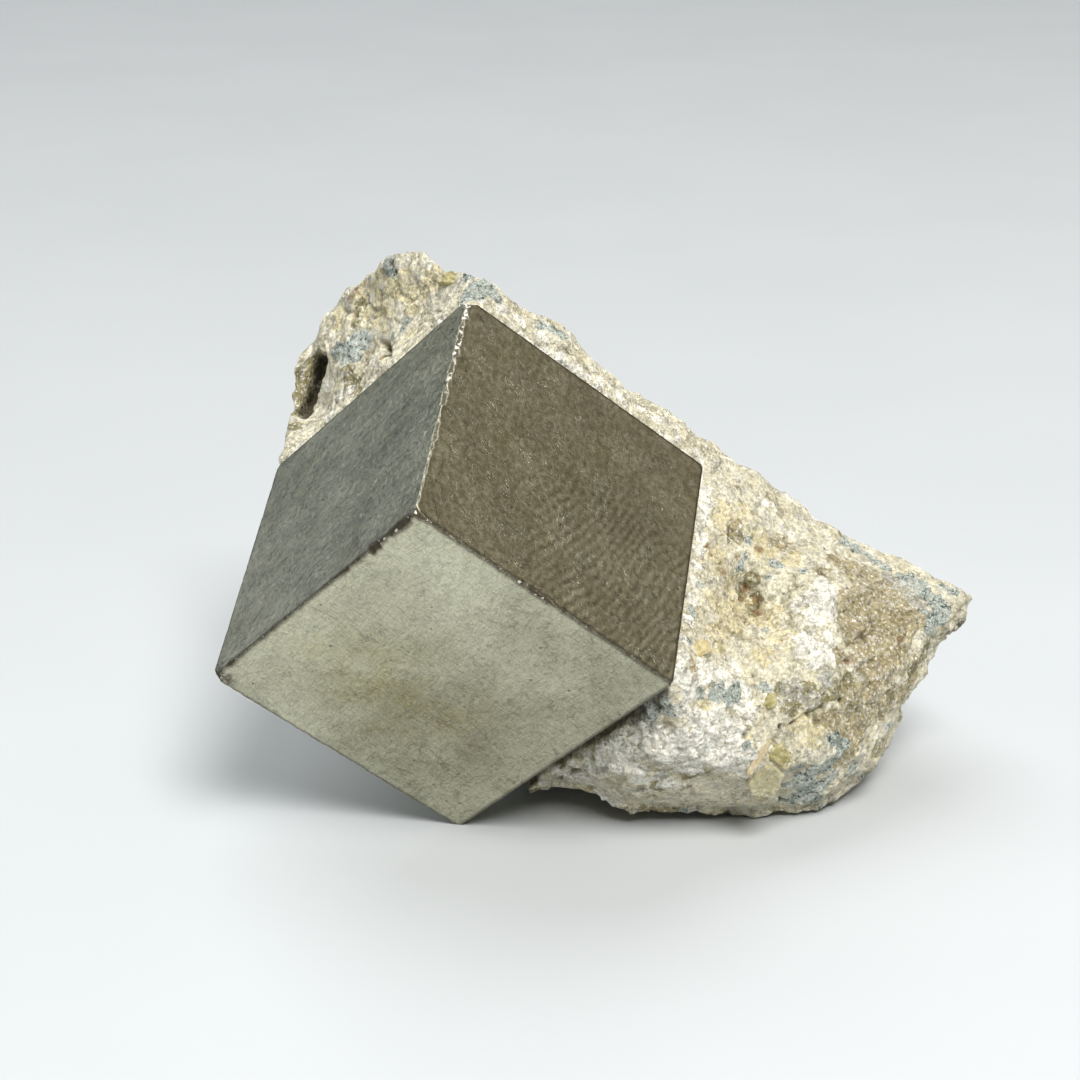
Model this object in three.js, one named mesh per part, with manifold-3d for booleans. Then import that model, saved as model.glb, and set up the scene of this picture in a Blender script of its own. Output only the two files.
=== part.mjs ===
// A pyrite cube grown on a piece of its matrix rock, with a few small crystals in the rock.
// Units are millimetres: +X along the specimen's long side, +Y towards its back, +Z up.
// The origin is on the surface it stands on, under the middle of its bounding box.
// It stands on the cube's lowest corner, the rock's front foot and the rock's back feet.
import * as THREE from 'three';
import { mergeVertices } from 'three/addons/utils/BufferGeometryUtils.js';
import Module from 'manifold-3d';

// ---- driving dimensions ----
const EDGE_A = 26.92;      // cube edge, near corner to top corner
const EDGE_B = 27.89;      // cube edge, near corner to right corner
const EDGE_C = 30.10;      // cube edge, near corner to left corner
const NEAR_CORNER = [-16.091, -28.799, 36.572];
const DIR_A = [0.14118, 0.89107, 0.43132];
const DIR_B = [0.76760, 0.17660, -0.61612];
const GAP = 0.3;           // between the cube and the rock it sits in
const CRYSTAL_GAP = 0.3;   // between a small crystal and its pocket
const ROCK_EDGE = 2.35;    // longest triangle edge on the rock
const LUMP = 0.42, LUMP_SIZE = 6.8;     // broad unevenness of the fracture faces
const GRAIN = 0.30, GRAIN_SIZE = 2.9;   // coarse grain
const SHIFT = [-0.29, -2.42, 0];   // moves the whole specimen so that the origin is under its middle

// ---- the rock's fracture faces ----
// Corner points of the rough block before it is roughened: RIM runs round its widest outline,
// FRONT lies on the side that carries the cube, BACK on the far side and underneath.
const RIM = [
  [-30.9, 8.8, 28.3], [-30.9, 9.9, 28.9], [-30.6, 12.4, 29.9], [-30.6, 14.9, 31], [-30.3, 17.5, 32.3], [-30, 20.3, 34.1],
  [-29.5, 21.3, 35.3], [-28.3, 21.2, 36.7], [-26.9, 20.5, 39.1], [-25.1, 19.3, 41.7], [-23.7, 17.8, 43.3], [-22.3, 15.8, 45],
  [-20.7, 13.3, 47], [-19.6, 11.7, 48.3], [-18.3, 10.7, 48.7], [-17.1, 9.7, 48.8], [-15.2, 7.1, 48.9], [-13, 3.3, 48.9],
  [-11.1, 0, 48.6], [-9.3, -0.4, 47.5], [-7.1, 0.5, 45.5], [-5.5, 1.2, 44.6], [-3.8, 1.7, 42.8], [-1.7, 2.6, 40.9],
  [0.8, 3.2, 38.2], [2.6, 3.7, 36.8], [5.6, 4.6, 34.9], [7.7, 5.6, 33.2], [10.3, 6.4, 31], [12.2, 6.7, 29],
  [14.7, 7.4, 27.3], [16.9, 7.6, 25.5], [18.9, 7.7, 24.4], [21.1, 7.4, 22.7], [23.9, 6.8, 21.3], [25.9, 6.2, 20.2],
  [28, 5.7, 19.8], [29.6, 5.3, 19.2], [31.1, 4.9, 18.6], [32.7, 4.4, 18.3], [33.9, 3.3, 17.7], [34.8, 1.8, 16.9],
  [34.3, 1.4, 16.5], [34.5, 1, 16], [34.3, 0.9, 15.2], [33.6, 1.1, 14.5], [32.7, 1, 13.2], [31.7, 0.9, 11.6],
  [31.1, 0.3, 10.1], [30.1, -0.4, 8.9], [28.4, -1.9, 6.4], [27.3, -3.4, 4.1], [25.8, -5.4, 2.1], [23.1, -6.9, 1.7],
  [21.2, -8.2, 1.1], [19.3, -9.4, 0.7], [17.8, -10, 0.5], [16.5, -10.3, 1], [15.5, -10.4, 0.6], [13.7, -10.6, 0.1],
  [12.5, -10.8, 0.6], [11.3, -11, 1.1], [8.7, -11.3, 1.4], [6, -11.6, 1.5], [4.8, -11.7, 1.6], [3.2, -12.1, 1.8],
  [1.5, -12.3, 2.3], [0.1, -11.7, 2.8], [-1.1, -11.2, 3], [-2.5, -10.8, 3], [-4.1, -10, 3.3], [-5.8, -9.9, 2.6],
  [-7.1, -9.4, 2.2], [-8.5, -5.2, 1.9], [-10.2, 0.7, 2.1], [-11.9, 5.7, 2.1], [-14.3, 8.3, 2.5], [-16.5, 11.9, 2.2],
  [-18.4, 17.7, 1.9], [-19.3, 20.4, 3.6], [-20, 20.2, 7.6], [-20.8, 18.6, 11.7], [-22.3, 16.7, 15.5], [-24.8, 13.9, 19.5],
  [-27.7, 11.2, 23.6], [-29.6, 9.8, 26.1],
];
const FRONT = [
  [-29.3, 11.9, 29.7], [-29.5, 9.7, 28.2], [-28.2, 13, 30.2], [-29.3, 17.5, 31.6], [-28.8, 20.3, 32.8], [-28.1, 20.9, 35],
  [-28.1, 17.9, 31.4], [-27.9, 19.7, 33.7], [-26.4, 11.2, 31.9], [-26.7, 13.5, 34.1], [-26.3, 15.1, 36.8], [-26.2, 16.8, 38.6],
  [-24.7, 10, 33.8], [-24.2, 11.6, 35.9], [-24.1, 12.8, 38], [-24.2, 15, 39.9], [-22.2, 14.4, 42.5], [-21.7, 9.4, 38],
  [-21.3, 11.7, 40.3], [-21.9, 7.2, 36.1], [-19.1, 7.3, 40.5], [-19, 9.7, 42.3], [-19.6, 11.4, 44.8], [-19.2, 11.4, 46.9],
  [-16.7, 8.2, 47], [-16.7, 6.6, 45], [-16.1, 4.1, 43.3], [-14.6, 4.6, 46.5], [-14.4, 2.2, 45.1], [-13.1, 2, 47.6],
  [-12.6, -0.7, 47.7], [-23.9, 5.6, 33.9], [-18.2, 3.4, 39.7], [-11.2, -2, 47.6], [-9.1, -1.6, 46.4], [-6.9, -1.1, 44.3],
  [-4.6, -0.4, 42.7], [-2.2, 0.3, 40.6], [0.4, 0.7, 38.1], [3.2, 1.4, 36], [5.9, 2.3, 33.7], [8.5, 3, 31.6],
  [10.1, 3.1, 30], [9.6, -1, 28], [8.8, -5.8, 25.4], [8.1, -10.6, 22.8], [7.2, -15.5, 20.5], [6.3, -19.7, 18.8],
  [11.6, 2.1, 27.9], [11, -2.2, 25.5], [10.6, -5.7, 22.9], [9.9, -9.7, 20.5], [8.9, -13.6, 18.7], [8, -17.4, 17],
  [13.8, 3.3, 26.5], [13.2, -0.6, 24.4], [12.6, -2.8, 22.8], [12.4, -2.7, 20.6], [13.4, -2, 18.5], [12.5, -6.3, 17.7],
  [14.4, -3.1, 18.3], [14, -5.6, 17.4], [11.5, -11.7, 17.5], [10.1, -15.4, 16.6], [16.2, 3.6, 24.4], [15.5, 0.1, 22.9],
  [15, -2.5, 21.2], [16.4, -4.2, 20.5], [15.9, -5.1, 18.5], [15.1, -8.8, 17.2], [13.8, -12, 16.1], [12.5, -14.8, 14.9],
  [18.6, 3.3, 23], [18.2, -0.9, 21.9], [18.5, -4.5, 21.4], [19.3, -6.9, 20.6], [18.3, -6.2, 18.6], [17.6, -9.2, 17.4],
  [19.2, -10.5, 17.9], [18.7, -11.6, 16.5], [16.9, -12.3, 16], [21.5, 1.7, 21.5], [21, -1.4, 20.7], [22, -3.3, 20],
  [22.1, -5.1, 18.5], [21, -8.3, 17.5], [20.8, -9.8, 15.7], [20.8, -11.3, 13.4], [18.7, -12.6, 13.9], [16.3, -14.2, 13.7],
  [14.3, -15.6, 13.1], [24.9, 3.1, 20.1], [25.2, 0.4, 19.1], [25.8, -1.4, 17.7], [24.6, -3.9, 16.7], [23.6, -6.7, 15.9],
  [23.8, -8.3, 13.9], [23.4, -9.6, 11.6], [21.1, -10.8, 11.7], [28.3, 3.6, 19.2], [28.5, 1, 17.8], [28.7, -1.1, 16.9],
  [27.5, -3.8, 15.7], [27.2, -5.4, 13.7], [26.6, -6.5, 11.3], [25.4, -7.5, 9.2], [31, 2.3, 17.8], [31.8, 0.7, 16.9],
  [30.1, -1.6, 15.3], [29.5, -2.4, 13.1], [32.8, 0.4, 16.3], [34.2, 1.4, 17.3], [23.1, -10.5, 9.1], [24.2, -9.4, 6.3],
  [21.1, -12.7, 9.6], [21.9, -11.5, 6.3], [19.5, -12.8, 10.3], [17.3, -14.7, 11], [18.7, -14.7, 8.8], [16.8, -15.8, 8.5],
  [19.4, -13.3, 5.4], [17.7, -13.3, 4.4], [21.5, -10, 3.5], [14.9, -16.3, 10.7], [14, -17.4, 9.3], [12.1, -17.5, 10.8],
  [11.8, -17.6, 8.4], [13.7, -15.8, 6.1], [13.8, -12.8, 2.8], [15.7, -14.2, 4.8], [11.1, -15.8, 5.6], [11.2, -13, 2.7],
  [9.9, -16.5, 14.7], [8, -18.2, 14.9], [10.3, -17.6, 12.3], [8.1, -18.8, 11.9], [5.9, -19.5, 14.8], [4.5, -18.5, 13.3],
  [6.3, -18.6, 10.8], [9.5, -18, 9.1], [7.4, -16.9, 7.3], [8.5, -14.4, 4.3], [2.9, -17.1, 11.3], [4.2, -17.6, 9.4],
  [5.2, -16, 6.2], [5.1, -13.6, 3.5], [1, -15.7, 9.3], [2.2, -16.5, 7.7], [3, -14.5, 4.5], [-0.9, -14.5, 7.4],
  [0.3, -14.3, 5.6], [-1.9, -12.9, 6], [-4.2, -11, 4.7], [-6, -10.1, 3.6], [-13, -4.5, 46.7], [-15.5, -2.8, 44],
  [-18.1, -1, 41.2], [-20.8, 0.8, 38.4], [-23.5, 2.6, 35.5], [-26.3, 4.5, 32.6], [-29.2, 6.4, 29.5], [-11.2, -4.5, 46.3],
  [-8.6, -3.9, 44.3], [-6.1, -3.3, 42.2], [-3.5, -2.7, 40.1], [-0.9, -2.1, 38], [1.8, -1.5, 35.8], [4.5, -0.8, 33.7],
  [7.2, -0.2, 31.5], [7.9, 0.9, 29.6], [7.3, -2.9, 27.8], [6.7, -6.5, 26.1], [6.2, -10.1, 24.4], [5.7, -13.5, 22.7],
  [5.1, -16.9, 21.1], [4.6, -20.2, 19.5], [1.9, -17.3, 16.8], [-0.5, -15.7, 14.3], [-3, -14, 11.7], [-5.5, -12.3, 9.1],
  [-8.1, -10.6, 6.4], [-24.5, 1.4, 32.1], [-18.6, -2.6, 38.1], [-14, -5.4, 43.6], [-9.6, -4.8, 42.5], [-4.2, -3.5, 38.4],
  [1.3, -2.3, 33.8], [6, -1.2, 30], [-22.5, -2.1, 30.3], [-16.7, -7.6, 33.1], [-10.5, -6.1, 35.5], [-4.2, -4.5, 32.1],
  [1.3, -3.2, 27.8], [5.3, -7.2, 26.4], [-15.9, -7.8, 27.5], [-10.5, -6.8, 28.1], [-4.2, -5.2, 25.6], [1.2, -9.8, 23.5],
  [4.5, -16.3, 22.2], [-9.6, -6.2, 22.1], [-4.2, -10, 20.6], [-0.7, -16, 19.3], [-6, -10.8, 16.1], [-4.2, -15.2, 13.2],
  [-7.8, -10.9, 12.2], [2.7, -18.8, 20.4], [-28.2, 9.5, 25.8], [-25, 10.6, 22.8], [-21.7, 11.4, 19.8], [-18.8, 12, 17],
  [-15.9, 12.2, 14.2], [-13, 11.9, 11.8], [-16.8, 8.6, 11.7], [-14.6, 6.9, 8.7], [-12.3, 8.3, 8.6], [-13.6, 5.1, 6],
  [-10.9, 5.1, 6.3], [-15.8, 5.5, 6.7], [-11.3, 3.6, 4.6],
];
const BACK = [
  [-17.6, 14.7, 43.9], [-12.6, 4.4, 46.6], [-23.8, 22.3, 39.2], [-19.2, 24.4, 38], [-16.1, 23.6, 37.8], [-9.9, 10.7, 41.2],
  [-26.6, 23, 34.7], [-21.5, 24.9, 34.5], [-17.7, 26.6, 33.4], [-13.7, 28, 33.3], [-8.3, 19.7, 34.9], [-5.1, 12.8, 36.8],
  [-27.9, 22, 31.2], [-23.7, 25.8, 29.9], [-20.2, 27.4, 28.6], [-15.3, 29.1, 28.8], [-11.4, 30.4, 27.8], [-6.8, 29.3, 28],
  [-3.1, 18, 32.4], [1.9, 10, 33.8], [-26.9, 19.8, 26.9], [-22.7, 27.9, 25], [-17.8, 29.4, 25.4], [-14.4, 30.9, 24.5],
  [-8.4, 30.2, 23.8], [-3.9, 29, 25.7], [1, 25.7, 25.3], [4.9, 13.8, 29.7], [-27.8, 15.1, 25.1], [-24.4, 23, 23.4],
  [-20.3, 30, 21.4], [-15.4, 32.5, 18.6], [-10.6, 31.1, 21], [-7, 30.3, 20.7], [-2.8, 29.4, 20.3], [3.1, 27.8, 21.5],
  [7.7, 24.4, 21.6], [10.2, 17.2, 24.1], [-22.2, 24, 18.9], [-18.2, 30.9, 14.9], [-13.9, 32.5, 15.8], [-9.1, 31.5, 15.3],
  [-5.1, 30.4, 16.3], [-0.4, 29.4, 16.1], [5.6, 27.8, 17.2], [9.2, 27, 17.2], [13.1, 21.9, 19.6], [16.9, 12.8, 22.3],
  [-20.1, 24.8, 14.5], [-16.2, 31.5, 10.5], [-11.6, 32.7, 10.5], [-7.5, 31.7, 10.8], [-1.4, 30.2, 11.1], [3, 29, 12.6],
  [6.4, 28.2, 12.5], [12.3, 26.7, 13.8], [15.9, 25.9, 13.4], [21.1, 22.7, 13.8], [-17.7, 25.7, 9.4], [-14.1, 33.2, 6.6],
  [-10, 32.9, 5.7], [-4.2, 31.3, 7.4], [0.5, 30.3, 7], [4.8, 29.2, 7.2], [10.5, 27.7, 8.7], [13.6, 27.1, 8.2],
  [19.6, 24.1, 10.7], [23, 18.5, 11.3], [27.2, 14.1, 14.5], [29.4, 9.9, 14.4], [-16, 26.5, 5.7], [-11.8, 33.2, 2.4],
  [-6.2, 32.4, 2.4], [-2.8, 29.4, 2.4], [3.6, 29.8, 2.4], [7, 29.2, 3.8], [11.6, 28, 4.9], [15.6, 25.6, 5],
  [19.9, 20.6, 7.8], [25, 13.5, 9.9], [27.6, 9.8, 11], [31.3, 5.2, 13.2], [-12.5, 19.3, 2.4], [-9.4, 19.1, 2.4],
  [-4.9, 21.5, 2.4], [0.2, 19.4, 2.4], [4, 22.5, 2.4], [9.8, 23.8, 2.4], [13.5, 21.7, 2.4], [19, 17.8, 3.4],
  [22.9, 12.9, 5.5], [26.4, 8.2, 7.3], [30, 3.8, 9.4], [-10.9, 10.3, 2.4], [-7, 10.3, 2.4], [-1.8, 11, 2.4],
  [3.2, 12.1, 2.4], [6.5, 10.8, 2.4], [20, 10.4, 2.4], [23.3, 9.5, 2.9], [26.9, 4.6, 4.6], [-8.6, 3.8, 2.4],
  [-5, 0.9, 2.4], [-0.7, 2.8, 2.4], [4.6, 1.7, 2.4], [8.4, 1.2, 2.4], [17.5, 1.8, 2.4], [21.5, 3, 2.4],
  [25.7, 3.1, 2.4], [-6.5, -6.7, 2.4], [-2.1, -6.3, 2.4], [1.6, -4.6, 2.4], [5.5, -5.1, 2.4], [9.7, -8.1, 2.4],
  [13.9, -5.7, 2.4], [18, -6.3, 2.4], [-12.8, 19.8, -0.5], [-15.5, 21.8, -0.5], [-13.9, 16.7, -0.5], [-15.5, 19, -0.6],
  [18.2, 16, -0.5], [15.1, 18.4, -0.5], [11.8, 16.1, -0.5], [13, 12.3, -0.5], [17, 12.2, -0.5], [15, 15, -0.6],
  [16.5, -6.2, -0.5], [14, -4.4, -0.5], [11.5, -6.2, -0.5], [14, -7, -0.6],
];
const FACES = [
  [12,109,13], [41,40,197], [193,197,40], [193,196,197], [13,109,14], [210,213,215], [218,219,220], [278,282,283], [268,275,276], [278,277,282], [282,281,285], [280,296,281],
  [285,281,296], [280,281,275], [276,275,281], [282,277,281], [276,281,277], [46,45,196], [44,196,45], [197,196,42], [41,197,42], [83,82,294], [280,275,294], [274,294,275],
  [268,117,275], [274,275,117], [83,294,293], [274,293,294], [270,269,276], [268,276,269], [12,108,109], [55,207,56], [52,201,53], [52,199,201], [210,212,213], [201,199,200],
  [278,283,279], [218,139,219], [219,139,133], [193,40,39], [124,24,123], [124,123,251], [250,251,123], [80,296,81], [80,298,296], [282,286,283], [282,285,286], [285,288,286],
  [44,43,196], [196,43,42], [27,26,126], [124,25,24], [245,267,117], [274,117,267], [274,267,292], [274,84,293], [274,292,84], [83,293,84], [289,288,290], [289,290,265],
  [289,265,264], [289,264,263], [232,263,264], [266,239,265], [266,73,239], [72,239,73], [289,287,288], [289,263,287], [262,287,263], [288,287,286], [283,286,287], [262,223,222],
  [219,133,222], [262,263,228], [262,228,223], [232,228,263], [215,58,57], [56,207,57], [215,57,207], [215,213,214], [215,214,58], [59,58,214], [201,200,204], [203,176,209],
  [210,209,211], [210,211,212], [220,211,176], [209,176,211], [199,198,200], [183,184,198], [200,198,184], [262,291,287], [283,291,284], [283,287,291], [218,149,139], [193,194,196],
  [46,196,194], [250,122,249], [250,123,122], [250,271,251], [277,251,271], [276,277,271], [250,249,271], [270,276,271], [270,271,249], [277,272,251], [278,272,277], [278,273,272],
  [253,272,273], [280,295,296], [296,295,81], [82,81,295], [280,294,295], [82,295,294], [80,79,298], [124,251,252], [124,252,25], [251,272,252], [253,252,272], [2,1,86],
  [292,85,84], [241,118,269], [268,269,118], [292,267,87], [292,87,85], [245,87,267], [0,85,87], [109,108,110], [15,14,110], [109,110,14], [108,111,110], [12,11,108],
  [108,11,102], [76,75,304], [265,237,264], [72,71,239], [266,74,73], [75,74,304], [290,304,74], [266,265,74], [265,290,74], [67,236,68], [69,68,237], [236,237,68],
  [223,228,229], [203,204,202], [200,202,204], [200,184,202], [210,215,205], [215,207,205], [210,205,209], [203,209,205], [203,205,204], [201,208,53], [53,208,54], [220,225,211],
  [212,211,225], [223,224,222], [223,229,224], [226,225,224], [195,48,47], [46,194,47], [195,47,194], [49,190,50], [203,175,176], [218,157,149], [156,149,157], [218,220,157],
  [220,176,157], [156,157,175], [176,175,157], [199,51,198], [52,51,199], [131,130,258], [283,258,279], [135,130,136], [131,136,130], [131,259,132], [131,258,259], [283,284,259],
  [283,259,258], [131,132,137], [131,137,136], [143,136,137], [262,261,291], [262,222,261], [133,261,222], [139,149,138], [133,139,138], [133,138,132], [132,138,137], [183,173,184],
  [193,187,194], [137,138,145], [193,39,192], [193,192,187], [15,110,16], [24,23,123], [285,297,288], [288,297,300], [285,296,297], [296,298,297], [288,302,290], [288,300,302],
  [290,302,304], [298,79,299], [298,299,297], [300,297,299], [78,299,79], [39,38,192], [26,25,125], [25,252,125], [253,125,252], [253,126,125], [26,125,126], [241,106,242],
  [241,242,118], [106,103,242], [245,88,86], [245,117,94], [245,94,88], [245,86,246], [245,246,87], [86,1,246], [0,246,1], [0,87,246], [268,243,105], [105,243,103],
  [268,118,243], [118,242,243], [103,243,242], [241,114,112], [114,111,112], [241,112,106], [108,102,107], [108,107,111], [106,112,107], [111,107,112], [9,102,10], [11,10,102],
  [100,101,97], [9,101,102], [265,239,238], [265,238,237], [69,237,238], [232,264,235], [264,237,235], [232,235,236], [236,235,237], [232,233,228], [228,233,229], [232,236,233],
  [54,208,206], [55,206,207], [55,54,206], [207,206,205], [204,205,206], [201,204,206], [201,206,208], [219,222,221], [222,224,221], [219,221,220], [220,221,225], [225,221,224],
  [226,224,230], [229,230,224], [229,233,230], [183,191,190], [50,190,191], [183,198,191], [50,191,51], [198,51,191], [183,190,182], [183,182,173], [172,173,182], [279,258,257],
  [130,257,258], [284,291,260], [291,261,260], [284,260,259], [132,259,260], [133,132,260], [133,260,261], [172,174,173], [184,173,174], [184,174,202], [203,202,174], [203,174,175],
  [149,148,138], [138,148,145], [156,148,149], [187,186,179], [187,192,186], [185,186,38], [192,38,186], [143,137,144], [137,145,144], [123,22,122], [123,23,22], [249,122,121],
  [270,247,269], [76,304,301], [304,302,301], [76,301,77], [300,301,302], [300,299,301], [150,32,31], [30,140,31], [150,31,140], [185,37,36], [185,38,37], [135,141,140],
  [150,140,141], [150,141,151], [30,134,140], [135,140,134], [33,167,34], [89,3,88], [89,4,3], [2,86,3], [86,88,3], [5,4,90], [89,90,4], [100,99,103],
  [105,103,99], [89,88,92], [88,94,92], [89,92,90], [95,90,92], [117,98,94], [95,98,99], [94,98,92], [95,92,98], [105,99,98], [7,97,8], [9,8,101],
  [97,101,8], [102,104,107], [102,101,104], [106,107,104], [106,104,103], [100,103,104], [100,104,101], [239,71,70], [239,70,238], [69,238,70], [236,234,233], [233,234,230],
  [212,225,216], [213,212,216], [213,216,214], [214,216,217], [190,189,182], [49,189,190], [195,189,48], [49,48,189], [182,189,181], [172,182,181], [172,181,171], [185,36,178],
  [185,178,186], [179,186,178], [179,178,170], [169,170,178], [161,170,169], [172,171,164], [172,165,174], [172,164,165], [163,165,164], [270,249,248], [249,121,248], [270,248,247],
  [20,248,121], [122,22,21], [122,21,121], [20,121,21], [269,247,240], [241,269,240], [241,240,114], [77,301,303], [299,303,301], [78,77,303], [78,303,299], [135,136,142],
  [135,142,141], [143,142,136], [151,141,142], [30,29,134], [35,34,177], [34,167,177], [169,178,177], [35,177,36], [36,177,178], [95,93,90], [95,99,93], [5,90,93],
  [117,244,98], [105,98,244], [268,244,117], [268,105,244], [63,230,231], [230,234,231], [217,216,227], [226,227,225], [225,227,216], [226,230,227], [63,227,230], [217,61,60],
  [59,214,60], [214,217,60], [189,188,181], [194,187,188], [187,179,188], [195,194,188], [195,188,189], [163,164,162], [161,160,162], [153,162,160], [171,162,164], [161,162,170],
  [171,170,162], [179,170,180], [179,180,188], [181,188,180], [171,181,180], [171,180,170], [175,174,166], [174,165,166], [156,175,166], [163,166,165], [20,120,248], [247,248,120],
  [114,240,116], [151,142,152], [143,152,142], [143,144,152], [273,256,255], [279,257,256], [278,279,256], [278,256,273], [135,256,130], [130,256,257], [134,29,128], [28,128,29],
  [253,273,254], [273,255,254], [253,254,126], [255,128,254], [100,96,99], [99,96,93], [100,97,96], [7,96,97], [234,66,65], [67,66,236], [236,66,234], [234,65,64],
  [234,64,231], [63,231,64], [217,62,61], [217,227,62], [63,62,227], [161,169,168], [161,168,160], [169,177,168], [167,168,177], [153,160,159], [167,159,168], [160,168,159],
  [151,152,159], [153,159,152], [163,162,154], [153,154,162], [247,120,119], [18,116,119], [247,119,240], [240,119,116], [18,115,116], [255,256,129], [134,128,129], [255,129,128],
  [135,134,129], [135,129,256], [28,127,128], [128,127,254], [27,127,28], [27,126,127], [126,254,127], [93,96,91], [5,91,6], [5,93,91], [7,6,91], [7,91,96],
  [33,158,167], [167,158,159], [33,32,158], [150,158,32], [150,151,158], [151,159,158], [163,154,155], [156,166,155], [163,155,166], [156,155,148], [145,146,144], [153,146,154],
  [144,146,152], [153,152,146], [18,119,19], [120,19,119], [20,19,120], [18,17,115], [114,116,113], [116,115,113], [114,113,111], [110,111,113], [110,113,16], [16,113,17],
  [115,17,113], [154,147,155], [154,146,147], [145,147,146], [145,148,147], [148,155,147], [53,413,52], [413,51,52], [56,420,55], [82,353,81], [332,26,27], [57,431,56],
  [431,420,56], [420,54,55], [54,420,53], [53,412,413], [420,412,53], [412,420,411], [412,404,413], [403,412,411], [412,403,404], [395,403,394], [403,395,404], [420,419,411],
  [431,419,420], [42,44,45], [42,43,44], [386,42,45], [42,386,40], [42,40,41], [368,359,369], [330,338,329], [347,348,357], [349,348,340], [323,331,330], [331,332,340],
  [324,26,332], [331,324,332], [324,323,24], [324,331,323], [338,337,329], [415,416,68], [416,415,408], [379,367,368], [367,379,378], [50,51,413], [58,431,57], [403,425,394],
  [425,403,411], [395,396,404], [393,382,394], [419,429,411], [429,425,411], [392,393,427], [372,362,34], [362,372,371], [396,384,385], [384,396,395], [372,383,371], [382,383,394],
  [383,382,371], [383,395,394], [383,384,395], [384,383,372], [322,323,330], [322,330,329], [359,358,349], [358,348,349], [348,358,357], [358,367,357], [358,359,368], [367,358,368],
  [338,339,347], [339,348,347], [339,338,330], [331,339,330], [348,339,340], [339,331,340], [25,324,24], [324,25,26], [316,322,315], [322,316,323], [323,23,24], [316,23,323],
  [23,316,22], [305,309,308], [321,322,329], [321,314,315], [322,321,315], [309,313,308], [313,309,314], [84,333,334], [85,333,84], [317,311,318], [12,13,14], [305,12,14],
  [11,305,308], [307,11,308], [11,12,305], [336,337,345], [344,336,345], [325,326,334], [333,325,334], [325,317,318], [326,325,318], [415,407,408], [367,366,357], [366,367,378],
  [389,400,399], [400,407,399], [407,400,408], [400,401,408], [363,80,81], [353,363,81], [389,377,378], [377,366,378], [366,377,365], [343,84,334], [343,83,84], [343,344,353],
  [82,343,353], [83,343,82], [46,386,45], [46,47,386], [404,405,413], [396,405,404], [405,50,413], [50,405,49], [405,397,49], [397,405,396], [397,396,385], [386,397,385],
  [47,397,386], [393,426,427], [426,393,394], [425,426,394], [402,392,427], [392,402,391], [402,401,391], [417,418,63], [64,417,63], [418,62,63], [433,418,419], [433,60,61],
  [62,433,61], [433,62,418], [382,370,371], [381,382,393], [392,381,393], [381,370,382], [370,381,369], [362,33,34], [33,362,32], [373,384,372], [373,372,34], [384,373,385],
  [359,360,369], [360,370,369], [341,332,27], [341,349,340], [332,341,340], [316,21,22], [20,21,315], [21,316,315], [20,310,19], [309,310,314], [314,310,315], [310,20,315],
  [16,17,305], [17,306,305], [306,309,305], [310,306,19], [306,310,309], [328,336,327], [336,328,337], [337,328,329], [328,321,329], [319,326,318], [326,319,327], [4,5,317],
  [311,5,6], [5,311,317], [311,312,318], [312,311,307], [312,307,308], [313,312,308], [312,319,318], [319,312,313], [311,8,307], [8,9,307], [9,10,307], [10,11,307],
  [335,326,327], [336,335,327], [326,335,334], [335,343,334], [335,336,344], [343,335,344], [3,4,317], [325,3,317], [69,415,68], [407,406,399], [75,406,74], [74,406,73],
  [406,407,73], [70,407,415], [69,70,415], [356,366,365], [356,347,357], [366,356,357], [390,389,378], [390,400,389], [390,379,391], [379,390,378], [401,390,391], [400,390,401],
  [388,389,399], [388,377,389], [363,375,80], [354,344,345], [344,354,353], [354,363,353], [386,39,40], [38,39,386], [374,38,386], [38,374,37], [374,386,385], [373,374,385],
  [397,48,49], [48,397,47], [416,67,68], [66,67,416], [426,428,427], [428,429,419], [418,428,419], [429,430,425], [430,426,425], [428,430,429], [430,428,426], [409,417,416],
  [402,409,401], [409,416,408], [401,409,408], [65,417,64], [65,66,416], [417,65,416], [432,433,419], [433,432,60], [432,419,431], [380,368,369], [381,380,369], [380,379,368],
  [380,381,392], [379,380,391], [380,392,391], [35,373,34], [350,359,349], [350,360,359], [360,350,351], [341,350,349], [370,361,371], [360,361,370], [361,362,371], [361,360,351],
  [29,30,351], [15,305,14], [15,16,305], [306,18,19], [18,306,17], [320,313,314], [321,320,314], [328,320,321], [320,328,327], [319,320,327], [320,319,313], [7,311,6],
  [7,8,311], [2,3,325], [414,70,71], [70,414,407], [407,414,73], [414,72,73], [72,414,71], [356,346,347], [337,346,345], [346,338,347], [346,337,338], [398,388,399],
  [406,398,399], [398,406,75], [377,376,365], [388,376,377], [376,388,387], [375,376,387], [77,424,76], [422,424,77], [78,422,77], [422,79,387], [79,375,387], [78,79,422],
  [375,79,80], [355,356,365], [355,346,356], [355,354,345], [346,355,345], [417,410,418], [410,428,418], [428,410,427], [409,410,417], [410,402,427], [410,409,402], [60,434,59],
  [432,434,60], [434,58,59], [58,434,431], [434,432,431], [35,36,373], [374,36,37], [36,374,373], [350,342,351], [342,350,341], [342,29,351], [352,361,351], [30,352,351],
  [31,352,30], [352,31,32], [362,352,32], [361,352,362], [1,325,333], [1,2,325], [1,85,0], [1,333,85], [388,421,387], [398,421,388], [421,422,387], [364,355,365],
  [355,364,354], [376,364,365], [364,376,375], [364,375,363], [354,364,363], [342,28,29], [28,341,27], [28,342,341], [423,424,422], [421,423,422], [424,423,76], [423,75,76],
  [423,398,75], [423,421,398],
];
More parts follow.
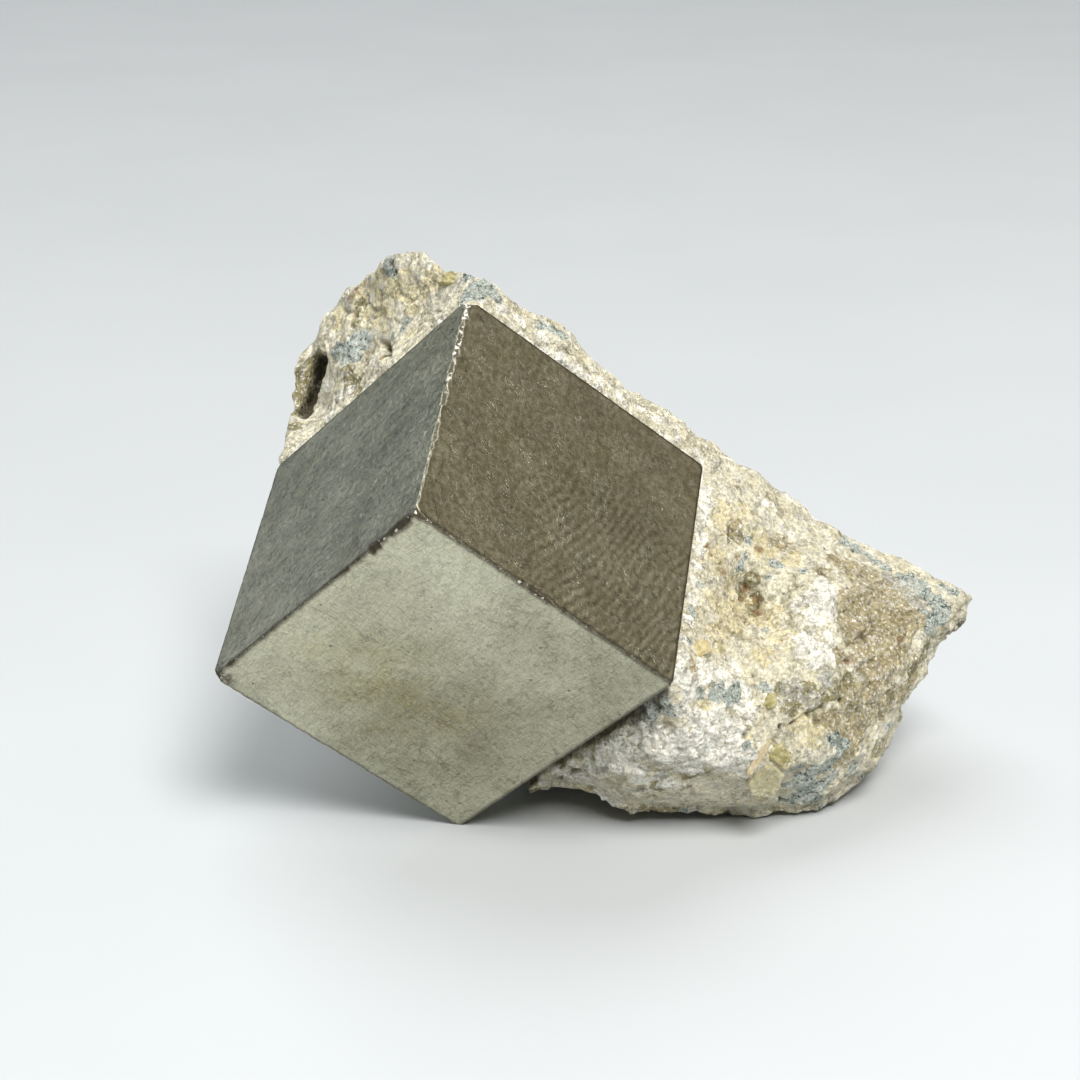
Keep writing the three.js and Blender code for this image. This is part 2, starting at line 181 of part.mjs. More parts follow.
const CRYSTALS = [
  { name: 'tabular_crystal', normal: [0.241, -0.945, -0.221], depth: 2.56, colour: [0.50, 0.44, 0.25], roughness: 0.35,
    top: [[12.62, -17.06, 6.66], [13.38, -17.08, 7.57], [14.17, -17.09, 8.48], [15.05, -16.80, 8.22], [15.81, -16.38, 7.23], [15.43, -16.10, 5.61], [14.38, -16.23, 5.03], [13.03, -16.65, 5.36]] },
  { name: 'olive_crystal_lower', normal: [0.509, -0.855, 0.102], depth: 1.69, colour: [0.46, 0.41, 0.20], roughness: 0.35,
    top: [[14.55, -17.05, 10.04], [15.01, -16.73, 10.38], [15.66, -16.35, 10.33], [16.49, -15.97, 9.36], [16.58, -16.05, 8.30], [16.02, -16.45, 7.71], [15.28, -16.78, 8.60], [14.54, -17.14, 9.28]] },
  { name: 'brown_blade', normal: [0.020, -0.995, 0.101], depth: 1.61, colour: [0.47, 0.37, 0.22], roughness: 0.50,
    top: [[14.45, -17.23, 11.19], [14.21, -17.33, 10.22], [13.33, -17.51, 8.67], [12.54, -17.64, 7.53], [12.28, -17.60, 7.96], [12.94, -17.45, 9.35], [13.80, -17.33, 10.32]] },
  { name: 'olive_crystal_upper', normal: [-0.451, -0.621, 0.641], depth: 2.52, colour: [0.43, 0.37, 0.14], roughness: 0.35,
    top: [[-15.50, 4.58, 47.28], [-15.10, 4.68, 47.67], [-14.66, 4.78, 48.08], [-14.22, 4.62, 48.23], [-13.61, 4.13, 48.18], [-13.40, 3.39, 47.61], [-14.19, 3.69, 47.35]] },
  { name: 'olive_crystal_front', normal: [0.251, -0.862, 0.441], depth: 1.50, colour: [0.40, 0.36, 0.12], roughness: 0.35,
    top: [[13.79, -15.56, 13.69], [14.08, -15.15, 14.32], [14.49, -14.88, 14.61], [15.01, -14.83, 14.41], [15.22, -15.05, 13.87], [14.93, -15.29, 13.56], [14.21, -15.56, 13.45]] },
  { name: 'honey_crystal', normal: [0.480, -0.700, 0.530], depth: 2.35, colour: [0.62, 0.50, 0.22], roughness: 0.35,
    top: [[7.23, -16.52, 19.71], [8.11, -15.62, 20.10], [9.11, -15.21, 19.74], [9.08, -15.72, 19.09], [8.22, -16.51, 18.82], [7.40, -16.87, 19.09]] },
];

// ---- small helpers ----
const v3 = (a) => new THREE.Vector3(a[0], a[1], a[2]);

function hash3(i, j, k, seed) {
  let h = Math.imul(i, 374761393) ^ Math.imul(j, 668265263) ^ Math.imul(k, 2147483647) ^ Math.imul(seed, 1274126177);
  h = Math.imul(h ^ (h >>> 13), 1274126177);
  h = Math.imul(h ^ (h >>> 16), 2246822519);
  return ((h ^ (h >>> 15)) >>> 0) / 4294967295;
}

// Smooth value noise between -1 and 1.
function noise(x, y, z, seed) {
  const i = Math.floor(x), j = Math.floor(y), k = Math.floor(z);
  const f = (t) => t * t * t * (t * (t * 6 - 15) + 10);
  const u = f(x - i), v = f(y - j), w = f(z - k);
  const l = (a, b, t) => a + (b - a) * t;
  const c = (a, b, d) => hash3(i + a, j + b, k + d, seed);
  return 2 * l(l(l(c(0, 0, 0), c(1, 0, 0), u), l(c(0, 1, 0), c(1, 1, 0), u), v),
    l(l(c(0, 0, 1), c(1, 0, 1), u), l(c(0, 1, 1), c(1, 1, 1), u), v), w) - 1;
}

// Splits every edge longer than limit until none is left.
function refine(verts, faces, limit) {
  for (let round = 0; round < 12; round++) {
    const mid = new Map();
    const key = (a, b) => (a < b ? a * 1e6 + b : b * 1e6 + a);
    const long = (a, b) => verts[a].distanceTo(verts[b]) > limit;
    const m = (a, b) => {
      const k = key(a, b);
      if (!mid.has(k)) { mid.set(k, verts.length); verts.push(verts[a].clone().add(verts[b]).multiplyScalar(0.5)); }
      return mid.get(k);
    };
    const next = [];
    let split = 0;
    for (const [a, b, c] of faces) {
      const s = [long(a, b), long(b, c), long(c, a)];
      const n = s.filter(Boolean).length;
      split += n;
      if (n === 0) next.push([a, b, c]);
      else if (n === 3) {
        const p = m(a, b), q = m(b, c), r = m(c, a);
        next.push([a, p, r], [p, b, q], [r, q, c], [p, q, r]);
      } else {
        // turn the triangle so that its first edge is split, and the third isn't if only two are
        let t = [a, b, c], u = s;
        while (!(u[0] && (n === 1 || u[1]))) { t = [t[1], t[2], t[0]]; u = [u[1], u[2], u[0]]; }
        const p = m(t[0], t[1]);
        if (n === 1) next.push([t[0], p, t[2]], [p, t[1], t[2]]);
        else {
          const q = m(t[1], t[2]);
          next.push([p, t[1], q]);
          if (verts[t[0]].distanceTo(verts[q]) < verts[p].distanceTo(verts[t[2]])) next.push([t[0], p, q], [t[0], q, t[2]]);
          else next.push([t[0], p, t[2]], [p, q, t[2]]);
        }
      }
    }
    faces = next;
    if (!split) break;
  }
  return faces;
}

function neighbours(count, faces) {
  const n = Array.from({ length: count }, () => new Set());
  for (const [a, b, c] of faces) { n[a].add(b).add(c); n[b].add(a).add(c); n[c].add(a).add(b); }
  return n;
}

// Rounds the creases a little without shrinking the block.
function relax(verts, faces, pairs, firm) {
  const n = neighbours(verts.length, faces);
  for (let i = 0; i < 2 * pairs; i++) {
    const rate = i % 2 ? -0.52 : 0.5;
    const moved = verts.map((p, at) => {
      const mean = new THREE.Vector3();
      for (const q of n[at]) mean.add(verts[q]);
      mean.multiplyScalar(1 / n[at].size);
      return p.clone().addScaledVector(mean.sub(p), rate * (at < firm ? 0.12 : 1));
    });
    moved.forEach((p, at) => verts[at].copy(p));
  }
}

function normals(verts, faces) {
  const out = verts.map(() => new THREE.Vector3());
  for (const [a, b, c] of faces) {
    const n = new THREE.Vector3().subVectors(verts[b], verts[a]).cross(new THREE.Vector3().subVectors(verts[c], verts[a]));
    out[a].add(n); out[b].add(n); out[c].add(n);
  }
  return out.map((p) => p.normalize());
}

function geometryOf(verts, faces) {
  const g = new THREE.BufferGeometry();
  g.setAttribute('position', new THREE.BufferAttribute(new Float32Array(verts.flatMap((p) => [p.x, p.y, p.z])), 3));
  g.setIndex(faces.flat());
  return g;
}

const wasm = await Module();
wasm.setup();

function solidOf(geometry) {
  const g = new THREE.BufferGeometry();
  g.setAttribute('position', geometry.attributes.position.clone());
  if (geometry.index) g.setIndex(geometry.index.clone());
  const m = mergeVertices(g, 1e-5);
  return new wasm.Manifold(new wasm.Mesh({
    numProp: 3,
    vertProperties: new Float32Array(m.attributes.position.array),
    triVerts: new Uint32Array(m.index.array),
  }));
}

// The largest connected body of a solid, as plain geometry: loose crumbs left by a cut are dropped.
function bodyOf(solid) {
  const mesh = solid.getMesh();
  const count = mesh.vertProperties.length / mesh.numProp;
  const verts = [];
  for (let i = 0; i < count; i++) verts.push(new THREE.Vector3(...mesh.vertProperties.slice(i * mesh.numProp, i * mesh.numProp + 3)));
  const g = mergeVertices(geometryOf(verts, [Array.from(mesh.triVerts)]), 1e-5);
  const pos = g.attributes.position, idx = g.index.array;
  const root = Array.from({ length: pos.count }, (_, i) => i);
  const find = (i) => { while (root[i] !== i) { root[i] = root[root[i]]; i = root[i]; } return i; };
  for (let i = 0; i < idx.length; i += 3) { root[find(idx[i])] = find(idx[i + 1]); root[find(idx[i + 1])] = find(idx[i + 2]); }
  const size = new Map();
  for (let i = 0; i < idx.length; i += 3) size.set(find(idx[i]), (size.get(find(idx[i])) || 0) + 1);
  const best = [...size.entries()].sort((a, b) => b[1] - a[1])[0][0];
  const keep = [], at = new Map(), out = [];
  for (let i = 0; i < idx.length; i += 3) {
    if (find(idx[i]) !== best) continue;
    const f = [idx[i], idx[i + 1], idx[i + 2]].map((q) => {
      if (!at.has(q)) { at.set(q, out.length); out.push(new THREE.Vector3().fromBufferAttribute(pos, q)); }
      return at.get(q);
    });
    if (new Set(f).size === 3) keep.push(f);
  }
  return geometryOf(out, keep);
}

// A convex solid from a point set, by joining every outward-facing triple of its corners.
function convexOf(points) {
  const p = points.map(v3);
  const faces = [];
  const c = p.reduce((s, q) => s.add(q), new THREE.Vector3()).multiplyScalar(1 / p.length);
  const used = new Set();
  for (let i = 0; i < p.length; i++) for (let j = i + 1; j < p.length; j++) for (let k = j + 1; k < p.length; k++) {
    const n = new THREE.Vector3().subVectors(p[j], p[i]).cross(new THREE.Vector3().subVectors(p[k], p[i]));
    if (n.length() < 1e-9) continue;
    n.normalize();
    if (n.dot(new THREE.Vector3().subVectors(p[i], c)) < 0) n.negate();
    const d = n.dot(p[i]);
    const on = [];
    let out = false;
    for (let q = 0; q < p.length; q++) { const e = n.dot(p[q]) - d; if (e > 1e-6) out = true; if (Math.abs(e) <= 1e-6) on.push(q); }
    const id = on.join();
    if (out || used.has(id)) continue;
    used.add(id);
    // fan round the flat face
    const m = on.reduce((s, q) => s.add(p[q]), new THREE.Vector3()).multiplyScalar(1 / on.length);
    const x = new THREE.Vector3().subVectors(p[on[0]], m).normalize(), y = new THREE.Vector3().crossVectors(n, x);
    const ring = on.map((q) => { const r = new THREE.Vector3().subVectors(p[q], m); return [Math.atan2(r.dot(y), r.dot(x)), q]; }).sort((a, b) => a[0] - b[0]).map((r) => r[1]);
    for (let q = 1; q + 1 < ring.length; q++) faces.push([ring[0], ring[q], ring[q + 1]]);
  }
  return geometryOf(p, faces);
}

// ---- the cube's own frame ----
const axisA = v3(DIR_A).normalize();
const axisC = new THREE.Vector3().crossVectors(axisA, v3(DIR_B)).normalize();
const axisB = new THREE.Vector3().crossVectors(axisC, axisA).normalize();
const near = v3(NEAR_CORNER);
const inCube = (a, b, c) => near.clone().addScaledVector(axisA, a).addScaledVector(axisB, b).addScaledVector(axisC, c);

function cubeBox(grow) {
  const pts = [];
  for (const a of [-grow, EDGE_A + grow]) for (const b of [-grow, EDGE_B + grow]) for (const c of [-grow, EDGE_C + grow]) {
    const p = inCube(a, b, c); pts.push([p.x, p.y, p.z]);
  }
  return convexOf(pts);
}

// A wedge that takes a chip off an edge or a corner: everything beyond the plane through three points of the cube's frame.
function chip(p, q, r, reach) {
  const a = inCube(...p), b = inCube(...q), c = inCube(...r);
  const n = new THREE.Vector3().subVectors(b, a).cross(new THREE.Vector3().subVectors(c, a)).normalize();
  const centre = inCube(EDGE_A / 2, EDGE_B / 2, EDGE_C / 2);
  if (n.dot(new THREE.Vector3().subVectors(a, centre)) < 0) n.negate();
  const m = a.clone().add(b).add(c).multiplyScalar(1 / 3);
  const u = new THREE.Vector3().subVectors(b, a).normalize(), w = new THREE.Vector3().crossVectors(n, u);
  const pts = [];
  for (const s of [-1, 1]) for (const t of [-1, 1]) for (const h of [0, reach]) {
    const g = m.clone().addScaledVector(u, s * reach * 1.2).addScaledVector(w, t * reach * 1.2).addScaledVector(n, h);
    pts.push([g.x, g.y, g.z]);
  }
  return solidOf(convexOf(pts));
}

// A short bevel broken off an edge: axis is the edge's direction, from and to are distances along it,
// cut0 and cut1 how far the break reaches on the two faces at its ends, tilt how much more on the second face.
function edgeChip(axis, at, from, to, cut0, cut1, tilt) {
  const other = [0, 1, 2].filter((i) => i !== axis);
  const corner = (t, i, off) => { const p = [0, 0, 0]; p[axis] = t; for (const o of other) p[o] = at[o]; p[other[i]] += (at[other[i]] > 1 ? -1 : 1) * off; return p; };
  const pts = [];
  for (const [t, cut] of [[from, cut0], [to, cut1]]) {
    pts.push(corner(t, 0, cut), corner(t, 1, cut * tilt));
    // beyond the edge itself
    const out = corner(t, 0, -1.2); out[other[1]] += (at[other[1]] > 1 ? 1 : -1) * 1.2;
    pts.push(out);
    pts.push(corner(t, 0, cut).map((v, k) => (k === other[1] ? v + (at[other[1]] > 1 ? 1.2 : -1.2) : v)));
    pts.push(corner(t, 1, cut * tilt).map((v, k) => (k === other[0] ? v + (at[other[0]] > 1 ? 1.2 : -1.2) : v)));
  }
  return solidOf(convexOf(pts.map((p) => { const q = inCube(...p); return [q.x, q.y, q.z]; })));
}

function groundCut() {
  const g = new THREE.BoxGeometry(200, 200, 20);
  g.translate(0, 0, -10);
  return solidOf(g);
}

// ---- pyrite cube ----
function pyriteCube() {
  let s = solidOf(cubeBox(0));
  const cut = (c) => { s = s.subtract(c); };
  // corners broken off: top, near, left and the one it stands on
  cut(chip([EDGE_A, 0.95, 0], [EDGE_A, 0, 1.0], [EDGE_A - 0.85, 0, 0], 4));
  cut(chip([0.62, 0, 0], [0, 0.62, 0], [0, 0, 0.7], 4));
  cut(chip([0.9, 0, EDGE_C], [0, 1.0, EDGE_C], [0, 0, EDGE_C - 1.15], 4));
  cut(chip([0, 0.55, EDGE_C - 0.2], [0.7, 0, EDGE_C - 1.9], [0, 0.3, EDGE_C - 2.2], 3));
  cut(chip([EDGE_A, EDGE_B, 0.35], [EDGE_A, EDGE_B - 0.4, 0], [EDGE_A - 0.35, EDGE_B, 0], 3));
  cut(chip([0, EDGE_B, 0.4], [0, EDGE_B - 0.4, 0], [0.4, EDGE_B, 0], 3));
  // the front vertical edge is worn in a row of uneven chips, widest at the top
  const worn = [[26.9, 24.6, 0.95, 0.80, 0.8], [24.9, 22.9, 0.72, 0.95, 1.1], [23.2, 20.8, 0.92, 0.66, 0.75], [21.2, 19.4, 0.60, 0.82, 1.2], [19.7, 17.3, 0.78, 0.52, 0.8],
    [17.6, 15.2, 0.50, 0.66, 1.15], [15.5, 12.9, 0.62, 0.40, 0.8], [13.2, 10.6, 0.38, 0.52, 1.1], [10.9, 8.4, 0.48, 0.30, 0.9], [8.7, 5.6, 0.28, 0.42, 1.2], [6.0, 3.1, 0.40, 0.26, 0.9], [3.4, 0.2, 0.26, 0.5, 1.1]];
  for (const [a, b, c0, c1, t] of worn) cut(edgeChip(0, [0, 0, 0], b, a, c1, c0, t));
  // near corner to left corner
  for (const [a, b, c0, c1, t] of [[0.3, 2.6, 0.46, 0.20, 1], [2.4, 5.8, 0.14, 0.44, 1.3], [5.6, 9.4, 0.42, 0.34, 1.2], [9.2, 11.0, 0.32, 0.12, 1], [15.5, 18.2, 0.10, 0.20, 1], [23.5, 26.5, 0.12, 0.26, 1.2], [26.3, 29.6, 0.24, 0.55, 1]])
    cut(edgeChip(2, [0, 0, 0], a, b, c0, c1, t));
  // near corner to right corner
  for (const [a, b, c0, c1, t] of [[0.4, 3.4, 0.34, 0.12, 1], [6.0, 8.2, 0.08, 0.20, 0.9], [11.5, 14.6, 0.16, 0.08, 1], [18.4, 21.0, 0.10, 0.18, 1.2], [24.0, 27.6, 0.10, 0.22, 1]])
    cut(edgeChip(1, [0, 0, 0], a, b, c0, c1, t));
  // left corner to the standing corner
  for (const [a, b, c0, c1, t] of [[0.8, 3.0, 0.28, 0.08, 1], [5.4, 8.6, 0.06, 0.12, 1], [12.0, 16.4, 0.12, 0.06, 1.1], [20.6, 24.2, 0.08, 0.15, 1], [24.0, 27.4, 0.12, 0.2, 0.9]])
    cut(edgeChip(1, [0, 0, EDGE_C], a, b, c0, c1, t));
  cut(groundCut());
  return bodyOf(s);
}

// ---- matrix rock ----
function rockBlock() {
  const verts = [...RIM, ...FRONT, ...BACK].map(v3);
  let faces = FACES.map((f) => [...f]);
  faces = refine(verts, faces, 4.6);
  relax(verts, faces, 2, RIM.length);
  faces = refine(verts, faces, ROCK_EDGE);
  relax(verts, faces, 1, RIM.length);
  const out = normals(verts, faces);
  verts.forEach((p, i) => {
    const s = p.x, t = p.y, u = p.z;
    let h = LUMP * (noise(s / LUMP_SIZE, t / LUMP_SIZE, u / LUMP_SIZE, 11) + 0.5 * noise(2.1 * s / LUMP_SIZE, 2.1 * t / LUMP_SIZE, 2.1 * u / LUMP_SIZE, 12));
    h += GRAIN * (1 - 2 * Math.abs(noise(s / GRAIN_SIZE, t / GRAIN_SIZE, u / GRAIN_SIZE, 13)));
    h += 0.5 * GRAIN * noise(s / 1.6, t / 1.6, u / 1.6, 14);
    p.addScaledVector(out[i], h + 0.12);
  });
  return geometryOf(verts, faces);
}

// ---- small crystals ----
// A flat-topped crystal: its outline's corners on the face that shows, tapering a little into the rock.
function crystalBody(c, grow, above = 1.6) {
  const n = v3(c.normal).normalize();
  const top = c.top.map(v3);
  const m = top.reduce((s, q) => s.add(q), new THREE.Vector3()).multiplyScalar(1 / top.length);
  const pts = [];
  const ring = (scale, lift) => {
    for (const q of top) {
      const r = new THREE.Vector3().subVectors(q, m);
      const p = m.clone().addScaledVector(r, scale).addScaledVector(r.clone().normalize(), grow).addScaledVector(n, lift);
      pts.push([p.x, p.y, p.z]);
    }
  };
  // a narrow bevel round the face, then the full outline, then the root
  if (grow === 0) ring(0.90, 0);
  ring(1.0, grow === 0 ? -0.12 : above);
  ring(0.86, -c.depth - grow);
  return convexOf(pts);
}

// ---- assembly ----
const rough = solidOf(rockBlock());
let rock = rough.subtract(solidOf(cubeBox(GAP))).subtract(groundCut());

const specimen = new THREE.Group();
specimen.name = 'pyrite_specimen';

function add(name, geometry, colour, roughness, metalness) {
  geometry.computeVertexNormals();
  const mesh = new THREE.Mesh(geometry, new THREE.MeshStandardMaterial({ color: new THREE.Color(...colour), roughness, metalness }));
  mesh.name = name;
  mesh.position.set(...SHIFT);
  specimen.add(mesh);
}

for (const c of CRYSTALS) {
  rock = rock.subtract(solidOf(crystalBody(c, CRYSTAL_GAP)));
}
add('pyrite_cube', pyriteCube(), [0.42, 0.40, 0.34], 0.38, 1.0);
add('matrix_rock', bodyOf(rock), [0.72, 0.66, 0.50], 0.9, 0.0);
// where two crystals meet, the later one is cut back from the earlier one
CRYSTALS.forEach((c, i) => {
  let s = solidOf(crystalBody(c, 0));
  for (const d of CRYSTALS.slice(0, i)) s = s.subtract(solidOf(crystalBody(d, CRYSTAL_GAP, 0.4)));
  add(c.name, bodyOf(s), c.colour, c.roughness, 0.0);
});

export default specimen;
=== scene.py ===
import math

import bpy
import numpy as np
from mathutils import Matrix, Vector


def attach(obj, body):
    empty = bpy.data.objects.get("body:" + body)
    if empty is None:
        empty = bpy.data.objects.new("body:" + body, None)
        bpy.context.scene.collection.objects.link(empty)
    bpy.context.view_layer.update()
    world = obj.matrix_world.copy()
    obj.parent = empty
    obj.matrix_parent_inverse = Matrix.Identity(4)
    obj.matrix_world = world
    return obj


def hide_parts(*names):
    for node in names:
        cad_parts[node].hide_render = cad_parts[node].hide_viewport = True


# A pyrite cube on its matrix rock. The row frame is in metres; this script works in millimetres and divides by 1000 at the end.

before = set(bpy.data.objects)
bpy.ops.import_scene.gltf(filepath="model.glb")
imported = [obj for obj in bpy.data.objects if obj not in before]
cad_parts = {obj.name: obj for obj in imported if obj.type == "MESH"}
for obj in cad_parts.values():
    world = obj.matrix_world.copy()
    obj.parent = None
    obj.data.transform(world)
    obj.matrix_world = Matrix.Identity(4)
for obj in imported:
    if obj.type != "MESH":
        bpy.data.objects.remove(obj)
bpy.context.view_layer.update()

# ---------------------------------------------------------------- geometry of the cube
SHIFT = np.array([-0.29, -2.42, 0.0])
NEAR = np.array([-16.091, -28.799, 36.572]) + SHIFT
EDGE = np.array([26.92, 27.89, 30.10])
DA = np.array([0.14118, 0.89107, 0.43132]); DA /= np.linalg.norm(DA)
DB = np.array([0.7676, 0.1766, -0.61612]); DB -= DA * (DB @ DA); DB /= np.linalg.norm(DB)
DC = np.cross(DA, DB)
AX = np.array([DA, DB, DC])

CHLORITE = [(-25.9, 12.4, 37.9, 0.78), (-24.6, 10.7, 38.9, 0.96), (-23.4, 10.2, 39.5, 0.77), (-25.1, 10.6, 37.8, 0.67), (-24.3, 9.8, 38.2, 0.58), (-20.2, 5.5, 41.0, 0.47), (-19.4, 4.7, 42.2, 0.47), (-18.6, 4.8, 42.9, 0.37), (-20.5, 9.5, 46.8, 0.57), (-19.9, 8.5, 46.5, 0.38), (-20.4, 9.5, 47.5, 0.38), (-12.5, -4.9, 47.6, 0.71), (-11.6, -4.1, 48.1, 0.8), (-11.0, -2.9, 48.3, 0.72), (-12.3, -2.6, 48.3, 0.63), (-10.2, -3.7, 47.5, 0.54), (-13.0, -0.5, 48.6, 0.54), (-6.3, -2.8, 44.3, 0.45), (-5.2, -2.7, 43.9, 0.54), (-4.3, -2.1, 43.2, 0.45), (12.3, -5.3, 22.1, 0.37), (13.1, -3.7, 24.2, 0.37), (12.2, -5.4, 22.4, 0.37), (15.5, -4.1, 22.0, 0.37), (16.1, -4.2, 21.8, 0.28), (18.1, -5.3, 21.6, 0.32), (12.7, -4.8, 22.9, 0.28), (14.8, -5.1, 21.0, 0.23), (22.9, 2.8, 21.6, 0.48), (23.8, 2.7, 21.1, 0.57), (24.8, 2.4, 20.6, 0.57), (25.6, 1.5, 20.2, 0.57), (26.6, 1.0, 19.7, 0.48), (28.4, 0.2, 18.9, 0.66), (29.6, 0.0, 18.4, 0.76), (30.1, -1.3, 18.1, 0.57), (28.9, -0.7, 18.4, 0.57), (31.0, -2.0, 17.6, 0.57), (31.2, -2.7, 16.1, 0.75), (30.6, -3.6, 15.6, 0.66), (31.9, -2.2, 16.6, 0.57), (32.1, 0.1, 18.2, 0.48), (33.0, -0.8, 17.9, 0.47), (29.9, -3.2, 17.0, 0.47), (2.5, -19.8, 14.6, 0.7), (3.4, -20.4, 14.4, 0.7), (4.3, -21.8, 15.7, 0.61), (4.9, -21.6, 14.7, 0.52), (3.7, -21.6, 16.0, 0.52), (7.7, -20.5, 15.9, 0.44), (8.9, -19.8, 15.5, 0.44), (9.6, -19.3, 15.6, 0.62), (10.5, -18.8, 14.8, 0.62), (11.0, -18.0, 15.2, 0.53), (13.5, -16.3, 14.7, 0.45), (14.1, -16.4, 14.3, 0.36), (12.1, -20.2, 10.8, 0.35), (10.2, -19.1, 14.8, 0.44), (20.5, -15.3, 9.3, 0.63), (21.1, -14.7, 8.3, 0.64), (20.8, -14.7, 7.4, 0.64), (19.9, -14.8, 6.4, 0.73), (18.6, -15.8, 6.2, 0.73), (17.8, -15.7, 5.2, 0.82), (16.9, -15.7, 4.4, 0.82), (18.4, -14.5, 3.6, 0.82), (19.6, -13.9, 4.0, 0.73), (17.6, -14.0, 2.5, 0.73), (19.0, -13.4, 2.2, 0.64), (16.7, -13.7, 1.9, 0.55), (20.5, -13.8, 5.0, 0.55), (22.5, -12.6, 5.1, 0.55), (23.0, -11.7, 3.9, 0.37), (26.3, -7.9, 7.1, 0.47), (16.9, -17.0, 6.9, 0.54), (8.1, -12.3, 23.2, 0.31), (7.2, -15.3, 21.6, 0.36), (6.7, -18.7, 20.3, 0.35), (14.2, -9.8, 17.6, 0.27)]
WHITE = [(0.9, -18.5, 8.5, 0.8), (2.7, -18.6, 6.6, 0.81), (-0.9, -17.3, 8.1, 0.63), (5.2, -18.3, 5.8, 0.72), (-2.8, -14.8, 4.9, 0.55), (7.8, -21.2, 11.7, 1.58), (5.3, -20.9, 11.0, 1.41), (10.1, -20.5, 9.9, 1.24), (11.6, -20.1, 8.6, 1.06), (3.0, -19.8, 11.4, 1.06), (0.7, -18.6, 9.9, 0.98), (7.0, -19.9, 8.1, 1.07), (9.1, -20.6, 13.0, 1.23), (11.9, -18.9, 13.5, 0.88), (-4.5, -14.1, 5.0, 0.73), (-1.9, -16.2, 6.6, 0.72), (9.0, -3.1, 28.4, 0.65), (9.0, -3.8, 27.7, 0.65), (8.8, -4.7, 26.5, 0.64), (8.4, -7.1, 25.9, 0.64), (8.2, -8.9, 25.1, 0.63), (7.8, -10.8, 24.4, 0.54), (7.5, -12.5, 23.6, 0.54), (7.2, -14.3, 22.3, 0.53), (6.8, -16.2, 21.2, 0.53), (6.3, -19.0, 20.5, 0.52), (6.0, -20.9, 19.8, 0.52), (5.8, -22.0, 18.9, 0.61), (6.2, -21.9, 17.9, 0.69), (6.8, -21.5, 16.8, 0.7), (7.7, -20.0, 17.1, 0.7), (8.8, -18.8, 17.3, 0.79), (10.0, -18.4, 16.4, 0.79), (11.5, -17.6, 15.1, 0.8), (7.7, -19.4, 18.0, 0.61), (11.1, -16.4, 16.7, 0.62), (20.0, -7.5, 20.7, 0.92), (19.5, -8.7, 20.0, 0.91), (20.1, -8.5, 18.8, 0.83), (19.3, -6.9, 21.1, 0.64), (18.1, -8.4, 20.2, 0.64), (18.7, -9.7, 18.6, 0.73), (17.6, -11.7, 17.4, 0.82), (18.2, -13.1, 17.1, 0.81), (19.1, -13.4, 16.7, 0.81), (18.4, -14.1, 16.3, 0.63), (17.2, -13.3, 16.6, 0.54), (20.1, -11.1, 17.2, 0.55), (17.2, -8.6, 19.4, 0.46), (11.9, -20.1, 8.9, 0.62), (12.5, -20.2, 9.9, 0.53), (12.3, -19.1, 7.4, 0.54), (11.4, -20.1, 11.2, 0.53), (7.7, -21.2, 12.8, 0.7), (6.0, -21.3, 11.4, 0.7), (5.2, -20.6, 9.6, 0.62), (7.8, -20.7, 10.0, 0.79), (9.2, -20.5, 11.0, 0.71), (10.9, -20.0, 12.3, 0.71), (7.0, -20.1, 8.6, 0.53), (2.6, -19.2, 8.0, 0.53), (3.4, -20.3, 10.9, 0.53), (4.3, -20.9, 12.2, 0.53), (0.8, -18.8, 11.2, 0.53), (-0.9, -17.4, 9.1, 0.45), (5.9, -21.8, 15.0, 0.61), (7.3, -21.2, 14.0, 0.61), (-6.3, -12.8, 4.0, 0.46), (-5.2, -14.0, 5.3, 0.46), (-3.6, -15.1, 6.6, 0.45), (-2.2, -16.2, 8.1, 0.45), (-0.9, -17.6, 9.7, 0.45), (-5.8, -12.6, 3.1, 0.37), (-2.0, -16.3, 7.1, 0.36), (-1.6, -16.6, 6.8, 0.36), (-1.2, -16.5, 5.8, 0.36), (17.3, 0.3, 23.2, 0.38), (16.4, 0.4, 23.9, 0.38), (14.9, 1.6, 26.3, 0.38), (16.0, 2.2, 25.4, 0.38), (18.5, 3.3, 23.9, 0.29), (19.8, 4.2, 23.1, 0.29), (18.9, 1.9, 23.2, 0.29), (-11.6, -5.2, 47.5, 0.44), (-9.9, -4.5, 46.6, 0.45), (-8.1, -3.9, 45.1, 0.45), (-6.3, -4.1, 43.7, 0.45), (-4.5, -4.3, 42.2, 0.45), (-2.7, -3.9, 40.8, 0.45), (-0.8, -2.6, 39.1, 0.46), (1.0, -1.9, 37.6, 0.46), (2.9, -0.6, 36.0, 0.46), (4.8, -0.9, 34.9, 0.46), (6.7, -0.6, 33.3, 0.46), (8.4, -0.1, 31.6, 0.47), (8.9, -0.5, 30.7, 0.47), (-27.0, 12.4, 34.4, 0.39), (-26.2, 9.6, 33.7, 0.48), (-25.5, 8.6, 34.5, 0.48), (-24.7, 4.9, 34.2, 0.38), (-26.5, 8.3, 32.6, 0.48), (-27.4, 6.8, 31.6, 0.38), (-27.9, 4.8, 31.4, 0.38), (-29.1, 4.6, 30.5, 0.38), (-30.0, 5.4, 29.5, 0.38), (-24.5, 7.8, 35.3, 0.38), (-22.2, 6.4, 38.4, 0.38), (-22.7, 12.3, 43.0, 0.38), (-21.5, 10.5, 44.9, 0.38), (-16.5, 5.9, 48.2, 0.47), (-14.6, 3.2, 48.3, 0.37)]
